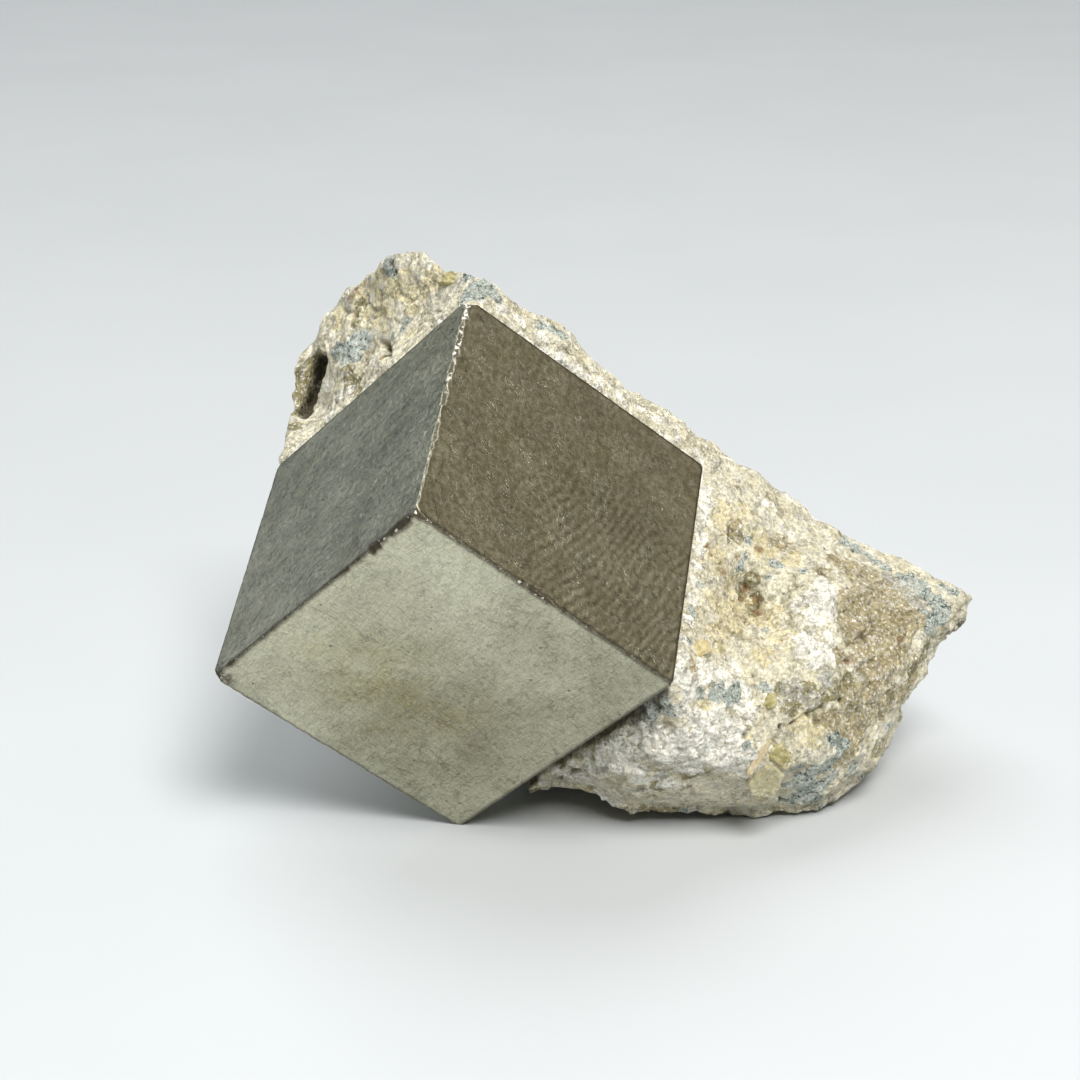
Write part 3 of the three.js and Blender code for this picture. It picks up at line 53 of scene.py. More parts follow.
YELLOW = [(10.8, -10.9, 19.1, 2.0), (9.0, -15.4, 19.0, 1.42), (7.9, -16.5, 18.0, 0.89), (7.3, -19.9, 18.4, 0.7), (12.6, -6.9, 18.5, 1.66), (14.8, -8.5, 18.1, 1.28), (11.2, -7.6, 20.2, 1.29), (9.5, -12.0, 21.5, 1.08), (10.8, -4.0, 26.3, 1.48), (12.8, -2.1, 26.1, 1.3), (10.2, -7.6, 23.6, 1.28), (14.2, -3.1, 23.5, 1.3), (17.0, -3.2, 22.5, 1.3), (13.5, -13.4, 16.7, 1.26), (16.0, -11.1, 17.2, 1.09), (9.9, -13.7, 19.0, 1.08), (-21.6, 10.7, 44.4, 1.72), (-19.5, 7.9, 45.5, 1.51), (-23.7, 12.4, 41.9, 1.54), (-21.5, 9.5, 42.2, 1.52), (-18.5, 1.9, 42.1, 0.74), (-23.7, 14.2, 43.4, 1.16), (-16.3, 4.9, 47.1, 1.3), (-14.9, 3.0, 47.4, 0.74), (-25.8, 15.2, 40.2, 0.98), (-18.0, 5.8, 44.6, 1.31), (18.4, -16.3, 10.1, 1.26), (17.0, -16.7, 11.8, 1.07), (13.8, -15.6, 2.8, 0.91), (14.9, -17.1, 6.0, 0.54), (8.2, -20.4, 15.1, 0.53), (11.4, -19.9, 11.8, 0.88)]
# TAN: the rock's own tan, laid on darker over the right-hand part that turns from the light, so partly painted shade
TAN = [(25.1, -7.9, 15.9, 2.03), (21.9, -12.9, 12.1, 1.46), (27.9, -6.2, 10.1, 1.5), (25.1, -10.0, 10.8, 1.84), (26.8, -4.9, 17.2, 1.68), (19.9, -14.8, 10.9, 1.08), (22.0, -13.7, 8.9, 1.64), (24.0, -10.9, 11.2, 1.84), (25.0, -9.8, 13.7, 1.84), (27.2, -6.8, 14.4, 1.86), (28.3, -4.5, 16.5, 1.68), (23.0, -12.2, 9.7, 1.46), (26.0, -8.1, 5.9, 1.12), (23.5, -10.3, 14.9, 1.46), (26.2, -8.7, 10.2, 1.3), (29.0, -5.0, 11.7, 1.32), (21.6, -13.8, 6.5, 0.91), (24.7, -2.1, 19.6, 1.32), (26.7, -1.5, 18.9, 1.32), (22.8, -2.0, 20.6, 1.13), (23.4, -5.8, 19.0, 1.85), (26.0, -3.6, 18.2, 1.87), (22.2, -7.9, 17.9, 1.47), (25.2, -7.0, 16.5, 1.67), (27.5, -2.9, 17.9, 1.13), (20.8, -8.1, 19.4, 0.73), (22.1, -9.7, 16.6, 1.1), (19.7, -4.2, 21.4, 0.93), (21.4, -1.5, 21.4, 0.94), (21.0, -11.8, 16.0, 0.91), (16.4, -1.7, 22.9, 1.12), (11.8, -4.0, 25.3, 0.93)]
# KHAKI: the rock's own olive khaki, laid on more heavily as painted shade in the hollow at the upper left and on the
# right-hand part
KHAKI = [(-24.3, 8.0, 35.8, 1.15), (-23.4, 6.1, 35.6, 0.95), (-24.9, 9.6, 36.3, 0.87), (-23.6, 4.1, 35.4, 0.85), (-30.1, 16.9, 33.6, 1.19), (-29.7, 15.6, 32.4, 1.29), (-29.3, 17.1, 34.6, 1.19), (-30.0, 13.5, 31.3, 1.08), (-29.2, 15.1, 31.9, 0.99), (-28.6, 16.3, 35.8, 0.89), (-30.1, 10.9, 30.8, 0.78), (-28.1, 15.8, 36.8, 0.59), (21.9, -12.5, 13.9, 0.91), (19.9, -14.3, 13.6, 1.26), (17.0, -16.0, 13.9, 1.25), (16.1, -16.7, 13.2, 1.07), (18.4, -15.7, 13.3, 1.26), (15.2, -16.2, 14.5, 0.71), (7.9, -19.8, 7.8, 0.89), (7.1, -19.2, 7.0, 0.89), (4.5, -18.2, 5.5, 0.9), (13.5, -17.5, 5.2, 0.72), (12.2, -5.9, 20.1, 0.93), (13.3, -5.3, 20.8, 0.74), (13.9, -5.8, 19.0, 0.74), (13.1, -7.0, 18.3, 0.74), (28.4, -5.7, 10.9, 1.13), (30.0, -3.7, 13.1, 0.94), (27.7, -5.3, 7.7, 0.94), (24.8, -10.0, 5.7, 0.93), (-23.7, 13.0, 42.3, 0.77), (-24.1, 12.1, 41.0, 0.77)]
GREY = [(28.2, -1.5, 18.6, 1.32), (30.0, -1.9, 17.9, 1.13), (26.8, -0.7, 19.3, 0.95), (31.4, -2.2, 17.1, 0.94), (29.0, -2.7, 17.8, 0.94), (0.8, -18.6, 11.8, 1.07), (2.2, -19.3, 9.8, 0.98), (3.9, -20.3, 9.3, 0.89), (-0.0, -18.2, 10.0, 0.89), (-0.9, -17.3, 7.1, 0.72), (3.4, -20.2, 12.8, 0.88), (-2.7, -15.4, 5.7, 0.55), (16.1, -16.2, 14.5, 1.07), (17.9, -15.8, 13.3, 1.08), (19.4, -14.3, 14.6, 0.9), (2.5, -19.6, 13.5, 0.88), (0.4, -18.2, 8.0, 0.9), (4.4, -19.1, 7.0, 0.71), (-4.4, -13.1, 3.6, 0.55), (7.8, -21.1, 11.3, 0.88)]
BROWN = [(9.1, -7.5, 25.0, 0.36), (14.1, -3.5, 23.2, 0.37), (10.5, -7.8, 22.6, 0.46), (12.8, -5.4, 19.9, 0.46), (13.8, -5.8, 19.0, 0.37), (13.8, -6.9, 18.3, 0.37), (12.2, -6.4, 19.3, 0.37), (13.7, -16.4, 3.8, 0.45), (6.8, -20.5, 19.2, 0.35), (7.2, -20.1, 18.3, 0.26), (-24.0, 14.5, 43.3, 0.39), (-24.6, 15.0, 42.4, 0.39), (11.8, -5.4, 23.2, 0.28), (-20.6, 4.0, 40.4, 0.47), (-21.2, 4.0, 39.7, 0.37), (2.7, -18.1, 5.5, 0.36), (9.3, -7.9, 24.5, 0.27), (22.0, -11.3, 15.3, 0.36), (27.2, -6.3, 15.2, 0.37)]
# DARK: spots of painted shade in the hollows and cracks, and a few dark grains under the cube
DARK = [(3.5, -21.3, 15.7, 0.79), (2.9, -19.8, 13.9, 0.7), (4.1, -21.8, 16.5, 0.52), (2.2, -19.4, 13.0, 0.53), (3.8, -21.1, 14.9, 0.44), (1.7, -19.0, 13.6, 0.62), (-20.9, 4.2, 40.0, 0.47), (-20.3, 1.2, 40.3, 0.37), (-20.1, 3.8, 40.9, 0.37), (15.3, -18.2, 11.7, 0.27), (16.5, -17.1, 11.7, 0.27), (17.9, -16.2, 12.0, 0.27), (19.4, -14.9, 12.3, 0.27), (20.7, -13.6, 12.4, 0.27), (-27.8, 15.0, 35.4, 0.69), (-28.0, 14.9, 34.2, 0.79), (-28.4, 15.2, 32.9, 0.79), (-28.8, 14.9, 31.8, 0.69), (-29.2, 13.7, 31.2, 0.59), (-27.6, 14.6, 36.5, 0.49), (-20.3, 9.3, 47.3, 0.28), (-19.9, 8.5, 46.6, 0.28), (5.0, -21.9, 15.4, 0.26), (4.0, -21.3, 15.0, 0.35), (11.8, -19.7, 11.7, 0.27), (13.9, -17.5, 9.1, 0.27), (16.1, -14.0, 1.9, 0.46)]
CRACKS = [
    ([(13.9, -5.1, 20.2), (13.8, -5.8, 19.0), (13.8, -6.9, 18.3)], 0.28, 0.4),
    ([(15.3, -18.2, 11.7), (16.7, -16.9, 11.6), (17.6, -16.4, 12.1), (18.9, -15.6, 12.2), (19.7, -14.4, 12.4), (20.8, -13.5, 12.5)], 0.22, 0.4),
    ([(12.6, -16.9, 4.2), (13.4, -16.7, 3.9), (14.3, -15.7, 3.4), (15.0, -15.5, 3.4)], 0.23, 0.45),
    ([(15.2, -17.6, 6.7), (15.7, -16.1, 4.5), (16.1, -13.7, 1.5)], 0.32, 0.7),
    ([(12.0, -5.7, 21.0), (12.8, -5.4, 19.9), (13.2, -5.6, 18.9)], 0.37, 0.45),
    ([(8.6, -7.9, 25.2), (9.2, -7.5, 24.9), (9.8, -7.5, 24.3)], 0.23, 0.35),
    ([(6.9, -18.3, 20.1), (7.7, -16.1, 17.8), (7.0, -20.5, 18.4)], 0.26, 0.35),
    ([(-20.9, 6.4, 40.1), (-20.5, 2.7, 40.3), (-20.9, 2.0, 39.9)], 0.37, 0.7),
    ([(-27.3, 15.6, 38.2), (-26.8, 13.8, 37.3), (-26.8, 12.8, 35.6)], 0.24, 0.35),
    ([(22.1, -10.1, 16.3), (24.2, -7.3, 16.7), (27.3, -4.9, 16.9), (30.4, -2.8, 17.2)], 0.28, 0.35),
    ([(21.4, -13.0, 13.9), (23.4, -10.7, 14.6), (26.1, -7.9, 14.4)], 0.23, 0.3),
    ([(7.9, -15.3, 20.8), (9.9, -13.3, 19.3), (12.4, -10.6, 17.6), (13.9, -11.1, 17.2)], 0.32, 0.35),
    ([(16.0, -3.7, 22.2), (17.9, -4.3, 21.8), (19.7, -4.2, 21.4)], 0.23, 0.25),
    ([(14.5, -13.1, 16.6), (16.2, -14.6, 15.9), (17.0, -15.5, 14.9)], 0.27, 0.35),
    ([(2.6, -19.2, 8.0), (4.8, -19.6, 7.8), (7.0, -20.0, 8.4)], 0.27, 0.35),
    ([(-25.3, 15.1, 41.0), (-23.1, 11.1, 41.5), (-21.0, 9.0, 42.6)], 0.29, 0.35),
    ([(-19.7, 7.7, 44.9), (-18.3, 6.1, 44.5), (-17.0, 4.6, 45.3)], 0.23, 0.25),
    ([(28.1, -1.8, 18.5), (30.0, -2.1, 17.8), (31.5, -2.0, 17.4)], 0.28, 0.35),
    ([(32.9, -1.6, 17.4), (33.4, -1.7, 16.2), (33.8, -1.4, 16.7)], 0.28, 0.4),
    ([(14.5, -16.1, 7.5), (14.3, -18.9, 10.6), (15.3, -18.3, 11.0)], 0.22, 0.35),
    ([(20.7, -15.1, 9.1), (21.6, -13.8, 6.5), (21.1, -13.1, 4.1)], 0.27, 0.35),
    ([(-4.5, -13.6, 4.4), (-3.4, -15.0, 5.8), (-2.2, -15.8, 6.2), (-1.6, -15.9, 5.2)], 0.27, 0.4),
    ([(-0.9, -16.7, 5.6), (0.9, -17.3, 5.1), (3.2, -17.7, 4.7)], 0.27, 0.3),
    ([(19.0, -12.1, 17.6), (20.8, -11.4, 16.3), (22.0, -11.4, 15.2)], 0.27, 0.35)]
HOLLOWS = [
    ([(-28.0, 15.3, 36.1), (-28.3, 15.7, 34.7), (-28.7, 15.8, 33.1), (-29.3, 15.1, 31.8), (-29.7, 13.5, 31.2)], 0.64, 2.6),
    ([(12.4, -5.7, 20.0), (13.0, -5.9, 18.9), (13.3, -7.0, 18.3)], 1.11, 0.55),
    ([(-21.0, 6.7, 40.1), (-20.5, 3.0, 40.4), (-20.9, 2.6, 39.9)], 0.37, 0.7)]
RIDGES = [
    ([(19.8, -5.4, 20.8), (20.1, -8.4, 20.1), (20.2, -9.5, 18.0), (19.7, -12.9, 16.5), (20.1, -13.8, 14.4), (20.5, -13.8, 11.9)], 0.73, 0.35),
    ([(8.1, -10.8, 24.2), (10.0, -10.3, 21.8), (11.3, -9.2, 19.2)], 0.45, 0.25),
    ([(7.9, -16.3, 20.1), (10.7, -14.4, 18.1), (13.6, -12.9, 17.0), (15.8, -13.1, 16.6)], 0.54, 0.3),
    ([(-5.8, -12.7, 3.5), (-4.0, -14.5, 5.2), (-2.4, -14.9, 4.9)], 0.27, 0.3),
    ([(12.7, -19.3, 12.0), (14.3, -18.0, 12.8), (17.0, -16.4, 13.0)], 0.44, 0.2),
    ([(-27.5, 16.0, 38.4), (-26.8, 13.1, 36.6), (-27.0, 13.3, 35.4), (-27.8, 13.9, 33.2), (-28.5, 14.3, 31.5), (-28.6, 10.7, 30.9)], 0.29, 0.35),
    ([(15.2, -2.0, 23.6), (18.1, -1.6, 22.6), (21.0, -1.1, 21.6), (24.9, -0.9, 20.0)], 0.56, 0.2),
    ([(0.8, -18.5, 12.1), (3.4, -20.3, 13.5), (5.1, -21.5, 13.7)], 0.35, 0.2),
    ([(16.4, -11.3, 17.3), (17.1, -13.6, 16.5), (16.6, -15.3, 15.4)], 0.45, 0.3),
    ([(22.9, -11.8, 12.6), (25.5, -9.4, 13.3), (28.8, -5.4, 12.8)], 0.37, 0.25),
    ([(21.9, -6.7, 19.4), (24.5, -4.2, 19.2), (27.2, -1.9, 18.5)], 0.37, 0.25)]

# ---------------------------------------------------------------- noise and mesh tools
def hashed(ix, iy, iz, seed):
    h = (ix * 73856093) ^ (iy * 19349663) ^ (iz * 83492791) ^ (seed * 374761393 + 12345)
    h &= 0x7FFFFFFF
    h = ((h ^ (h >> 15)) * 1274126177) & 0x7FFFFFFF
    h = ((h ^ (h >> 13)) * 668265263) & 0x7FFFFFFF
    return h ^ (h >> 16)


def unit(h, k):
    # a repeatable number in 0..1 from a hash
    h = ((h + k * 7919) * 1103515245 + 12345) & 0x7FFFFFFF
    h = ((h ^ (h >> 14)) * 668265263) & 0x7FFFFFFF
    return ((h ^ (h >> 15)) & 0xFFFF) / 65535.0


_rng = np.random.RandomState(5)
_dirs = _rng.normal(size=(256, 3))
_dirs /= np.linalg.norm(_dirs, axis=1, keepdims=True)


def perlin(p, seed):
    """Gradient noise, about -1..1, one cell per unit."""
    i = np.floor(p).astype(np.int64)
    f = p - i
    u = f * f * f * (f * (f * 6 - 15) + 10)
    total = 0.0
    for dx in (0, 1):
        for dy in (0, 1):
            for dz in (0, 1):
                g = _dirs[hashed(i[:, 0] + dx, i[:, 1] + dy, i[:, 2] + dz, seed) & 255]
                d = g[:, 0] * (f[:, 0] - dx) + g[:, 1] * (f[:, 1] - dy) + g[:, 2] * (f[:, 2] - dz)
                wx = u[:, 0] if dx else 1 - u[:, 0]
                wy = u[:, 1] if dy else 1 - u[:, 1]
                wz = u[:, 2] if dz else 1 - u[:, 2]
                total = total + d * wx * wy * wz
    return total * 1.6


def fbm(p, seed, octaves=3, gain=0.5, lac=2.03):
    a, s, t = 1.0, 0.0, 0.0
    for k in range(octaves):
        s = s + a * perlin(p * lac ** k + 17.3 * k, seed + k)
        t += a
        a *= gain
    return s / t


def cells(p, seed):
    """The nearest scattered point: its distance, the second distance, its hash and the offset from it."""
    i = np.floor(p).astype(np.int64)
    n = len(p)
    d1 = np.full(n, 9.0)
    d2 = np.full(n, 9.0)
    hh = np.zeros(n, np.int64)
    off = np.zeros((n, 3))
    for dx in (-1, 0, 1):
        for dy in (-1, 0, 1):
            for dz in (-1, 0, 1):
                c = i + (dx, dy, dz)
                h = hashed(c[:, 0], c[:, 1], c[:, 2], seed)
                q = c + np.stack([unit(h, 1), unit(h, 2), unit(h, 3)], 1)
                o = p - q
                d = np.sqrt((o * o).sum(1))
                near = d < d1
                d2 = np.where(near, d1, np.minimum(d2, d))
                d1 = np.where(near, d, d1)
                hh = np.where(near, h, hh)
                off = np.where(near[:, None], o, off)
    return d1, d2, hh, off


def facets(p, seed, tilt=1.0):
    """Broken crystalline grain: every cell is a small plane with its own tilt and height. About -1..1."""
    d1, d2, h, o = cells(p, seed)
    n = np.stack([unit(h, 5) - 0.5, unit(h, 6) - 0.5, unit(h, 7) - 0.5], 1) * 2
    edge = np.clip((d2 - d1) / 0.10, 0, 1)
    return ((n * o).sum(1) * tilt + (unit(h, 8) - 0.5) * 0.9) * (0.55 + 0.45 * edge), h, d2 - d1


def smooth(lo, hi, x):
    t = np.clip((x - lo) / (hi - lo), 0, 1)
    return t * t * (3 - 2 * t)


def edges_of(F):
    E = np.sort(np.concatenate([F[:, [0, 1]], F[:, [1, 2]], F[:, [2, 0]]]), axis=1)
    key = E[:, 0].astype(np.int64) * (int(F.max()) + 1) + E[:, 1]
    u, first, inv = np.unique(key, return_index=True, return_inverse=True)
    return E[first], inv.reshape(3, -1).T


def refine(V, F, target, rounds=6):
    """Splits every edge longer than target(its middle)."""
    for _ in range(rounds):
        U, inv = edges_of(F)
        mid = (V[U[:, 0]] + V[U[:, 1]]) / 2
        cut = np.linalg.norm(V[U[:, 0]] - V[U[:, 1]], axis=1) > target(mid)
        if not cut.any():
            break
        new = np.full(len(U), -1, np.int64)
        new[cut] = len(V) + np.arange(int(cut.sum()))
        V = np.concatenate([V, mid[cut]])
        m = new[inv]
        k = (m >= 0).sum(1)
        out = [F[k == 0]]
        f, e = F[k == 3], m[k == 3]
        out += [np.stack([f[:, 0], e[:, 0], e[:, 2]], 1), np.stack([e[:, 0], f[:, 1], e[:, 1]], 1), np.stack([e[:, 2], e[:, 1], f[:, 2]], 1), e]
        for r in range(3):
            a, b, c = r, (r + 1) % 3, (r + 2) % 3
            s = (k == 1) & (m[:, a] >= 0)
            f, e = F[s], m[s]
            out += [np.stack([f[:, a], e[:, a], f[:, c]], 1), np.stack([e[:, a], f[:, b], f[:, c]], 1)]
            s = (k == 2) & (m[:, a] < 0)
            f, e = F[s], m[s]
            # edges b (b..c) and c (c..a) are split
            out.append(np.stack([e[:, b], f[:, c], e[:, c]], 1))
            one = np.linalg.norm(V[f[:, a]] - V[e[:, b]], axis=1) <= np.linalg.norm(V[f[:, b]] - V[e[:, c]], axis=1)
            p, q, x, y = f[:, a], f[:, b], e[:, b], e[:, c]
            out += [np.stack([p, q, np.where(one, x, y)], 1), np.stack([np.where(one, p, q), x, y], 1)]
        F = np.concatenate(out)
    return V, F


def vertex_normals(V, F):
    n = np.cross(V[F[:, 1]] - V[F[:, 0]], V[F[:, 2]] - V[F[:, 0]])
    out = np.zeros_like(V)
    for k in range(3):
        for a in range(3):
            out[:, a] += np.bincount(F[:, k], n[:, a], len(V))
    return out / np.maximum(np.linalg.norm(out, axis=1, keepdims=True), 1e-12)


def relax(V, F, rounds=2, amount=0.5, keep=None):
    U, _ = edges_of(F)
    deg = np.bincount(U.ravel(), minlength=len(V)).astype(float)
    for _ in range(rounds):
        s = np.zeros_like(V)
        for a in range(3):
            s[:, a] = np.bincount(U[:, 0], V[U[:, 1], a], len(V)) + np.bincount(U[:, 1], V[U[:, 0], a], len(V))
        step = (s / np.maximum(deg, 1)[:, None] - V) * amount
        if keep is not None:
            step *= (1 - keep)[:, None]
        V = V + step
    return V


def read_mesh(ob):
    me = ob.data
    v = np.empty(len(me.vertices) * 3)
    me.vertices.foreach_get("co", v)
    me.calc_loop_triangles()
    t = np.empty(len(me.loop_triangles) * 3, np.int32)
    me.loop_triangles.foreach_get("vertices", t)
    v = v.reshape(-1, 3)
    w = np.array(ob.matrix_world)
    v = v @ w[:3, :3].T + w[:3, 3]
    return v * 1000.0, t.reshape(-1, 3).astype(np.int64)


def merged(V, F, tol=1e-3):
    key = np.round(V / tol).astype(np.int64)
    _, first, inv = np.unique(key, axis=0, return_index=True, return_inverse=True)
    inv = inv.ravel()
    F = inv[F]
    F = F[(F[:, 0] != F[:, 1]) & (F[:, 1] != F[:, 2]) & (F[:, 2] != F[:, 0])]
    return V[first], F


def make_mesh(name, V, F, material, attributes=(), smooth_shade=True):
    me = bpy.data.meshes.new(name)
    me.vertices.add(len(V))
    me.vertices.foreach_set("co", (V / 1000.0).astype(np.float32).ravel())
    me.loops.add(len(F) * 3)
    me.loops.foreach_set("vertex_index", F.astype(np.int32).ravel())
    me.polygons.add(len(F))
    me.polygons.foreach_set("loop_start", np.arange(0, len(F) * 3, 3, dtype=np.int32))
    me.update(calc_edges=True)
    me.validate()
    me.polygons.foreach_set("use_smooth", np.full(len(me.polygons), smooth_shade))
    for key, val in dict(attributes).items():
        at = me.attributes.new(key, "FLOAT", "POINT")
        at.data.foreach_set("value", np.asarray(val, np.float32))
    me.materials.append(material)
    ob = bpy.data.objects.new(name, me)
    bpy.context.scene.collection.objects.link(ob)
    return ob


def voxels(V, F, size):
    """A closed even mesh of the same solid."""
    me = bpy.data.meshes.new("tmp")
    me.from_pydata((V).tolist(), [], F.tolist())
    me.update()
    ob = bpy.data.objects.new("tmp", me)
    bpy.context.scene.collection.objects.link(ob)
    mod = ob.modifiers.new("r", "REMESH")
    mod.mode = "VOXEL"
    mod.voxel_size = size
    mod.adaptivity = 0.0
    dg = bpy.context.evaluated_depsgraph_get()
    ev = ob.evaluated_get(dg)
    res = bpy.data.meshes.new_from_object(ev)
    v = np.empty(len(res.vertices) * 3)
    res.vertices.foreach_get("co", v)
    res.calc_loop_triangles()
    t = np.empty(len(res.loop_triangles) * 3, np.int32)
    res.loop_triangles.foreach_get("vertices", t)
    bpy.data.objects.remove(ob)
    bpy.data.meshes.remove(me)
    bpy.data.meshes.remove(res)
    return v.reshape(-1, 3).copy(), t.reshape(-1, 3).astype(np.int64)


def in_cube(P):
    """Coordinates along the cube's three edges from its near corner."""
    return (P - NEAR) @ AX.T


def cube_distance(P):
    """Signed distance from the cube's surface, and the outward direction."""
    q = in_cube(P)
    c = q - EDGE / 2
    d = np.abs(c) - EDGE / 2
    outside = np.linalg.norm(np.maximum(d, 0), axis=1)
    inside = np.minimum(d.max(1), 0)
    k = d.argmax(1)
    far = np.maximum(d, 0) * np.sign(c)
    one = np.zeros_like(q)
    one[np.arange(len(q)), k] = np.sign(c[np.arange(len(q)), k])
    dirn = np.where((outside > 1e-9)[:, None], far / np.maximum(outside, 1e-9)[:, None], one)
    return outside + inside, dirn @ AX, q


def near_lines(P, lines, jitter):
    """How strongly each point lies on any of some polylines: depth times a soft section across the line."""
    out = np.zeros(len(P))
    for pts, w, depth in lines:
        pts = np.array(pts)
        lo, hi = pts.min(0) - 4 * w, pts.max(0) + 4 * w
        sel = np.where(((P > lo) & (P < hi)).all(1))[0]
        if not len(sel):
            continue
        q = P[sel] + jitter[sel] * w * 1.1
        best = np.full(len(sel), 1e9)
        for a, b in zip(pts[:-1], pts[1:]):
            ab = b - a
            t = np.clip(((q - a) @ ab) / max(ab @ ab, 1e-9), 0, 1)
            best = np.minimum(best, np.linalg.norm(q - a - t[:, None] * ab, axis=1))
        out[sel] = np.maximum(out[sel], depth * np.exp(-(best / w) ** 2))
    return out


def patches(P, spots, jitter, soft=0.45):
    out = np.zeros(len(P))
    for x, y, z, r in spots:
        sel = np.where((np.abs(P - (x, y, z)) < 2.2 * r + 0.5).all(1))[0]
        if not len(sel):
            continue
        d = np.linalg.norm(P[sel] - (x, y, z) + jitter[sel] * 0.55 * r, axis=1) / r
        out[sel] = np.maximum(out[sel], 1 - smooth(1 - soft, 1 + soft, d))
    return out


def sunk(P, eye, lines, jitter):
    """As near_lines, but measured across the line of sight, so a hollow reaches through to its floor."""
    out = np.zeros(len(P))
    for pts, w, depth in lines:
        pts = np.array(pts)
        d = pts.mean(0) - eye
        d /= np.linalg.norm(d)
        flat = pts - np.outer((pts - eye) @ d, d)
        q = P + jitter * w
        q = q - np.outer((q - eye) @ d, d)
        sel = np.where(np.linalg.norm(P - pts.mean(0), axis=1) < max(9.0, np.linalg.norm(pts[-1] - pts[0]) / 2 + 3.0))[0]
        best = np.full(len(sel), 1e9)
        for a, b in zip(flat[:-1], flat[1:]):
            ab = b - a
            t = np.clip(((q[sel] - a) @ ab) / max(ab @ ab, 1e-9), 0, 1)
            best = np.minimum(best, np.linalg.norm(q[sel] - a - t[:, None] * ab, axis=1))
        out[sel] = np.maximum(out[sel], depth * np.exp(-(best / w) ** 4))
    return out

# ---------------------------------------------------------------- shader helpers
class Tree:
    """Short names for building a material's nodes."""

    def __init__(self, name):
        self.mat = bpy.data.materials.new(name)
        self.mat.use_nodes = True
        self.nt = self.mat.node_tree
        self.bsdf = self.nt.nodes["Principled BSDF"]
        co = self.add("ShaderNodeTexCoord")
        mul = self.add("ShaderNodeVectorMath", operation="SCALE")
        self.nt.links.new(co.outputs["Object"], mul.inputs[0])
        mul.inputs["Scale"].default_value = 1000.0
        self.mm = mul.outputs[0]

    def add(self, kind, **props):
        n = self.nt.nodes.new(kind)
        for k, v in props.items():
            setattr(n, k, v)
        return n

    def put(self, socket, value):
        if isinstance(value, bpy.types.NodeSocket):
            self.nt.links.new(value, socket)
        elif isinstance(value, (tuple, list)) and len(value) == 3 and socket.type == "RGBA":
            socket.default_value = (*value, 1.0)
        else:
            socket.default_value = value

    def attr(self, name):
        return self.add("ShaderNodeAttribute", attribute_name=name).outputs["Fac"]

    def math(self, op, a, b=0.0, clamp=False):
        n = self.add("ShaderNodeMath", operation=op, use_clamp=clamp)
        self.put(n.inputs[0], a)
        self.put(n.inputs[1], b)
        return n.outputs[0]

    def ramp(self, value, lo, hi, a=0.0, b=1.0):
        n = self.add("ShaderNodeMapRange", interpolation_type="SMOOTHSTEP")
        self.put(n.inputs["Value"], value)
        n.inputs["From Min"].default_value = lo
        n.inputs["From Max"].default_value = hi
        n.inputs["To Min"].default_value = a
        n.inputs["To Max"].default_value = b
        return n.outputs["Result"]

    def mix(self, fac, a, b, blend="MIX"):
        n = self.add("ShaderNodeMix", data_type="RGBA", blend_type=blend)
        self.put(n.inputs["Factor"], fac)
        self.put(n.inputs[6], a)
        self.put(n.inputs[7], b)
        return n.outputs[2]

    def stretch(self, scale, turn=None):
        n = self.add("ShaderNodeMapping", vector_type="POINT")
        self.put(n.inputs["Vector"], self.mm)
        n.inputs["Scale"].default_value = scale
        if turn is not None:
            n.inputs["Rotation"].default_value = turn
        return n.outputs[0]

    def noise(self, scale, detail=3.0, rough=0.55, where=None, distortion=0.0):
        n = self.add("ShaderNodeTexNoise")
        self.put(n.inputs["Vector"], where or self.mm)
        n.inputs["Scale"].default_value = scale
        n.inputs["Detail"].default_value = detail
        n.inputs["Roughness"].default_value = rough
        n.inputs["Distortion"].default_value = distortion
        return n.outputs["Fac"]

    def voronoi(self, scale, out="Distance", feature="F1", where=None, randomness=1.0):
        n = self.add("ShaderNodeTexVoronoi", feature=feature)
        self.put(n.inputs["Vector"], where or self.mm)
        n.inputs["Scale"].default_value = scale
        n.inputs["Randomness"].default_value = randomness
        return n.outputs[out]

    def red(self, colour):
        n = self.add("ShaderNodeSeparateColor")
        self.put(n.inputs[0], colour)
        return n.outputs[0], n.outputs[1], n.outputs[2]

    def cleavage(self, scale, tilt, where=None):
        """Small flat facets, each with its own tilt: height in mm."""
        v = self.add("ShaderNodeTexVoronoi", feature="F1")
        self.put(v.inputs["Vector"], where or self.mm)
        v.inputs["Scale"].default_value = scale
        o = self.add("ShaderNodeVectorMath", operation="SUBTRACT")
        self.put(o.inputs[0], where or self.mm)
        self.put(o.inputs[1], v.outputs["Position"])
        d = self.add("ShaderNodeVectorMath", operation="SUBTRACT")
        self.put(d.inputs[0], v.outputs["Color"])
        d.inputs[1].default_value = (0.5, 0.5, 0.5)
        e = self.add("ShaderNodeVectorMath", operation="DOT_PRODUCT")
        self.put(e.inputs[0], o.outputs[0])
        self.put(e.inputs[1], d.outputs[0])
        return self.math("MULTIPLY", e.outputs["Value"], tilt)

    def bump(self, height, strength, distance, normal=None):
        n = self.add("ShaderNodeBump")
        n.inputs["Strength"].default_value = strength
        n.inputs["Distance"].default_value = distance
        self.put(n.inputs["Height"], height)
        if normal is not None:
            self.put(n.inputs["Normal"], normal)
        return n.outputs[0]

    def finish(self, **sockets):
        for k, v in sockets.items():
            self.put(self.bsdf.inputs[k.replace("_", " ")], v)
        return self.mat


def lin(r, g, b):
    f = lambda c: (c / 255 / 12.92) if c <= 10 else (((c / 255) + 0.055) / 1.055) ** 2.4
    return (f(r), f(g), f(b))


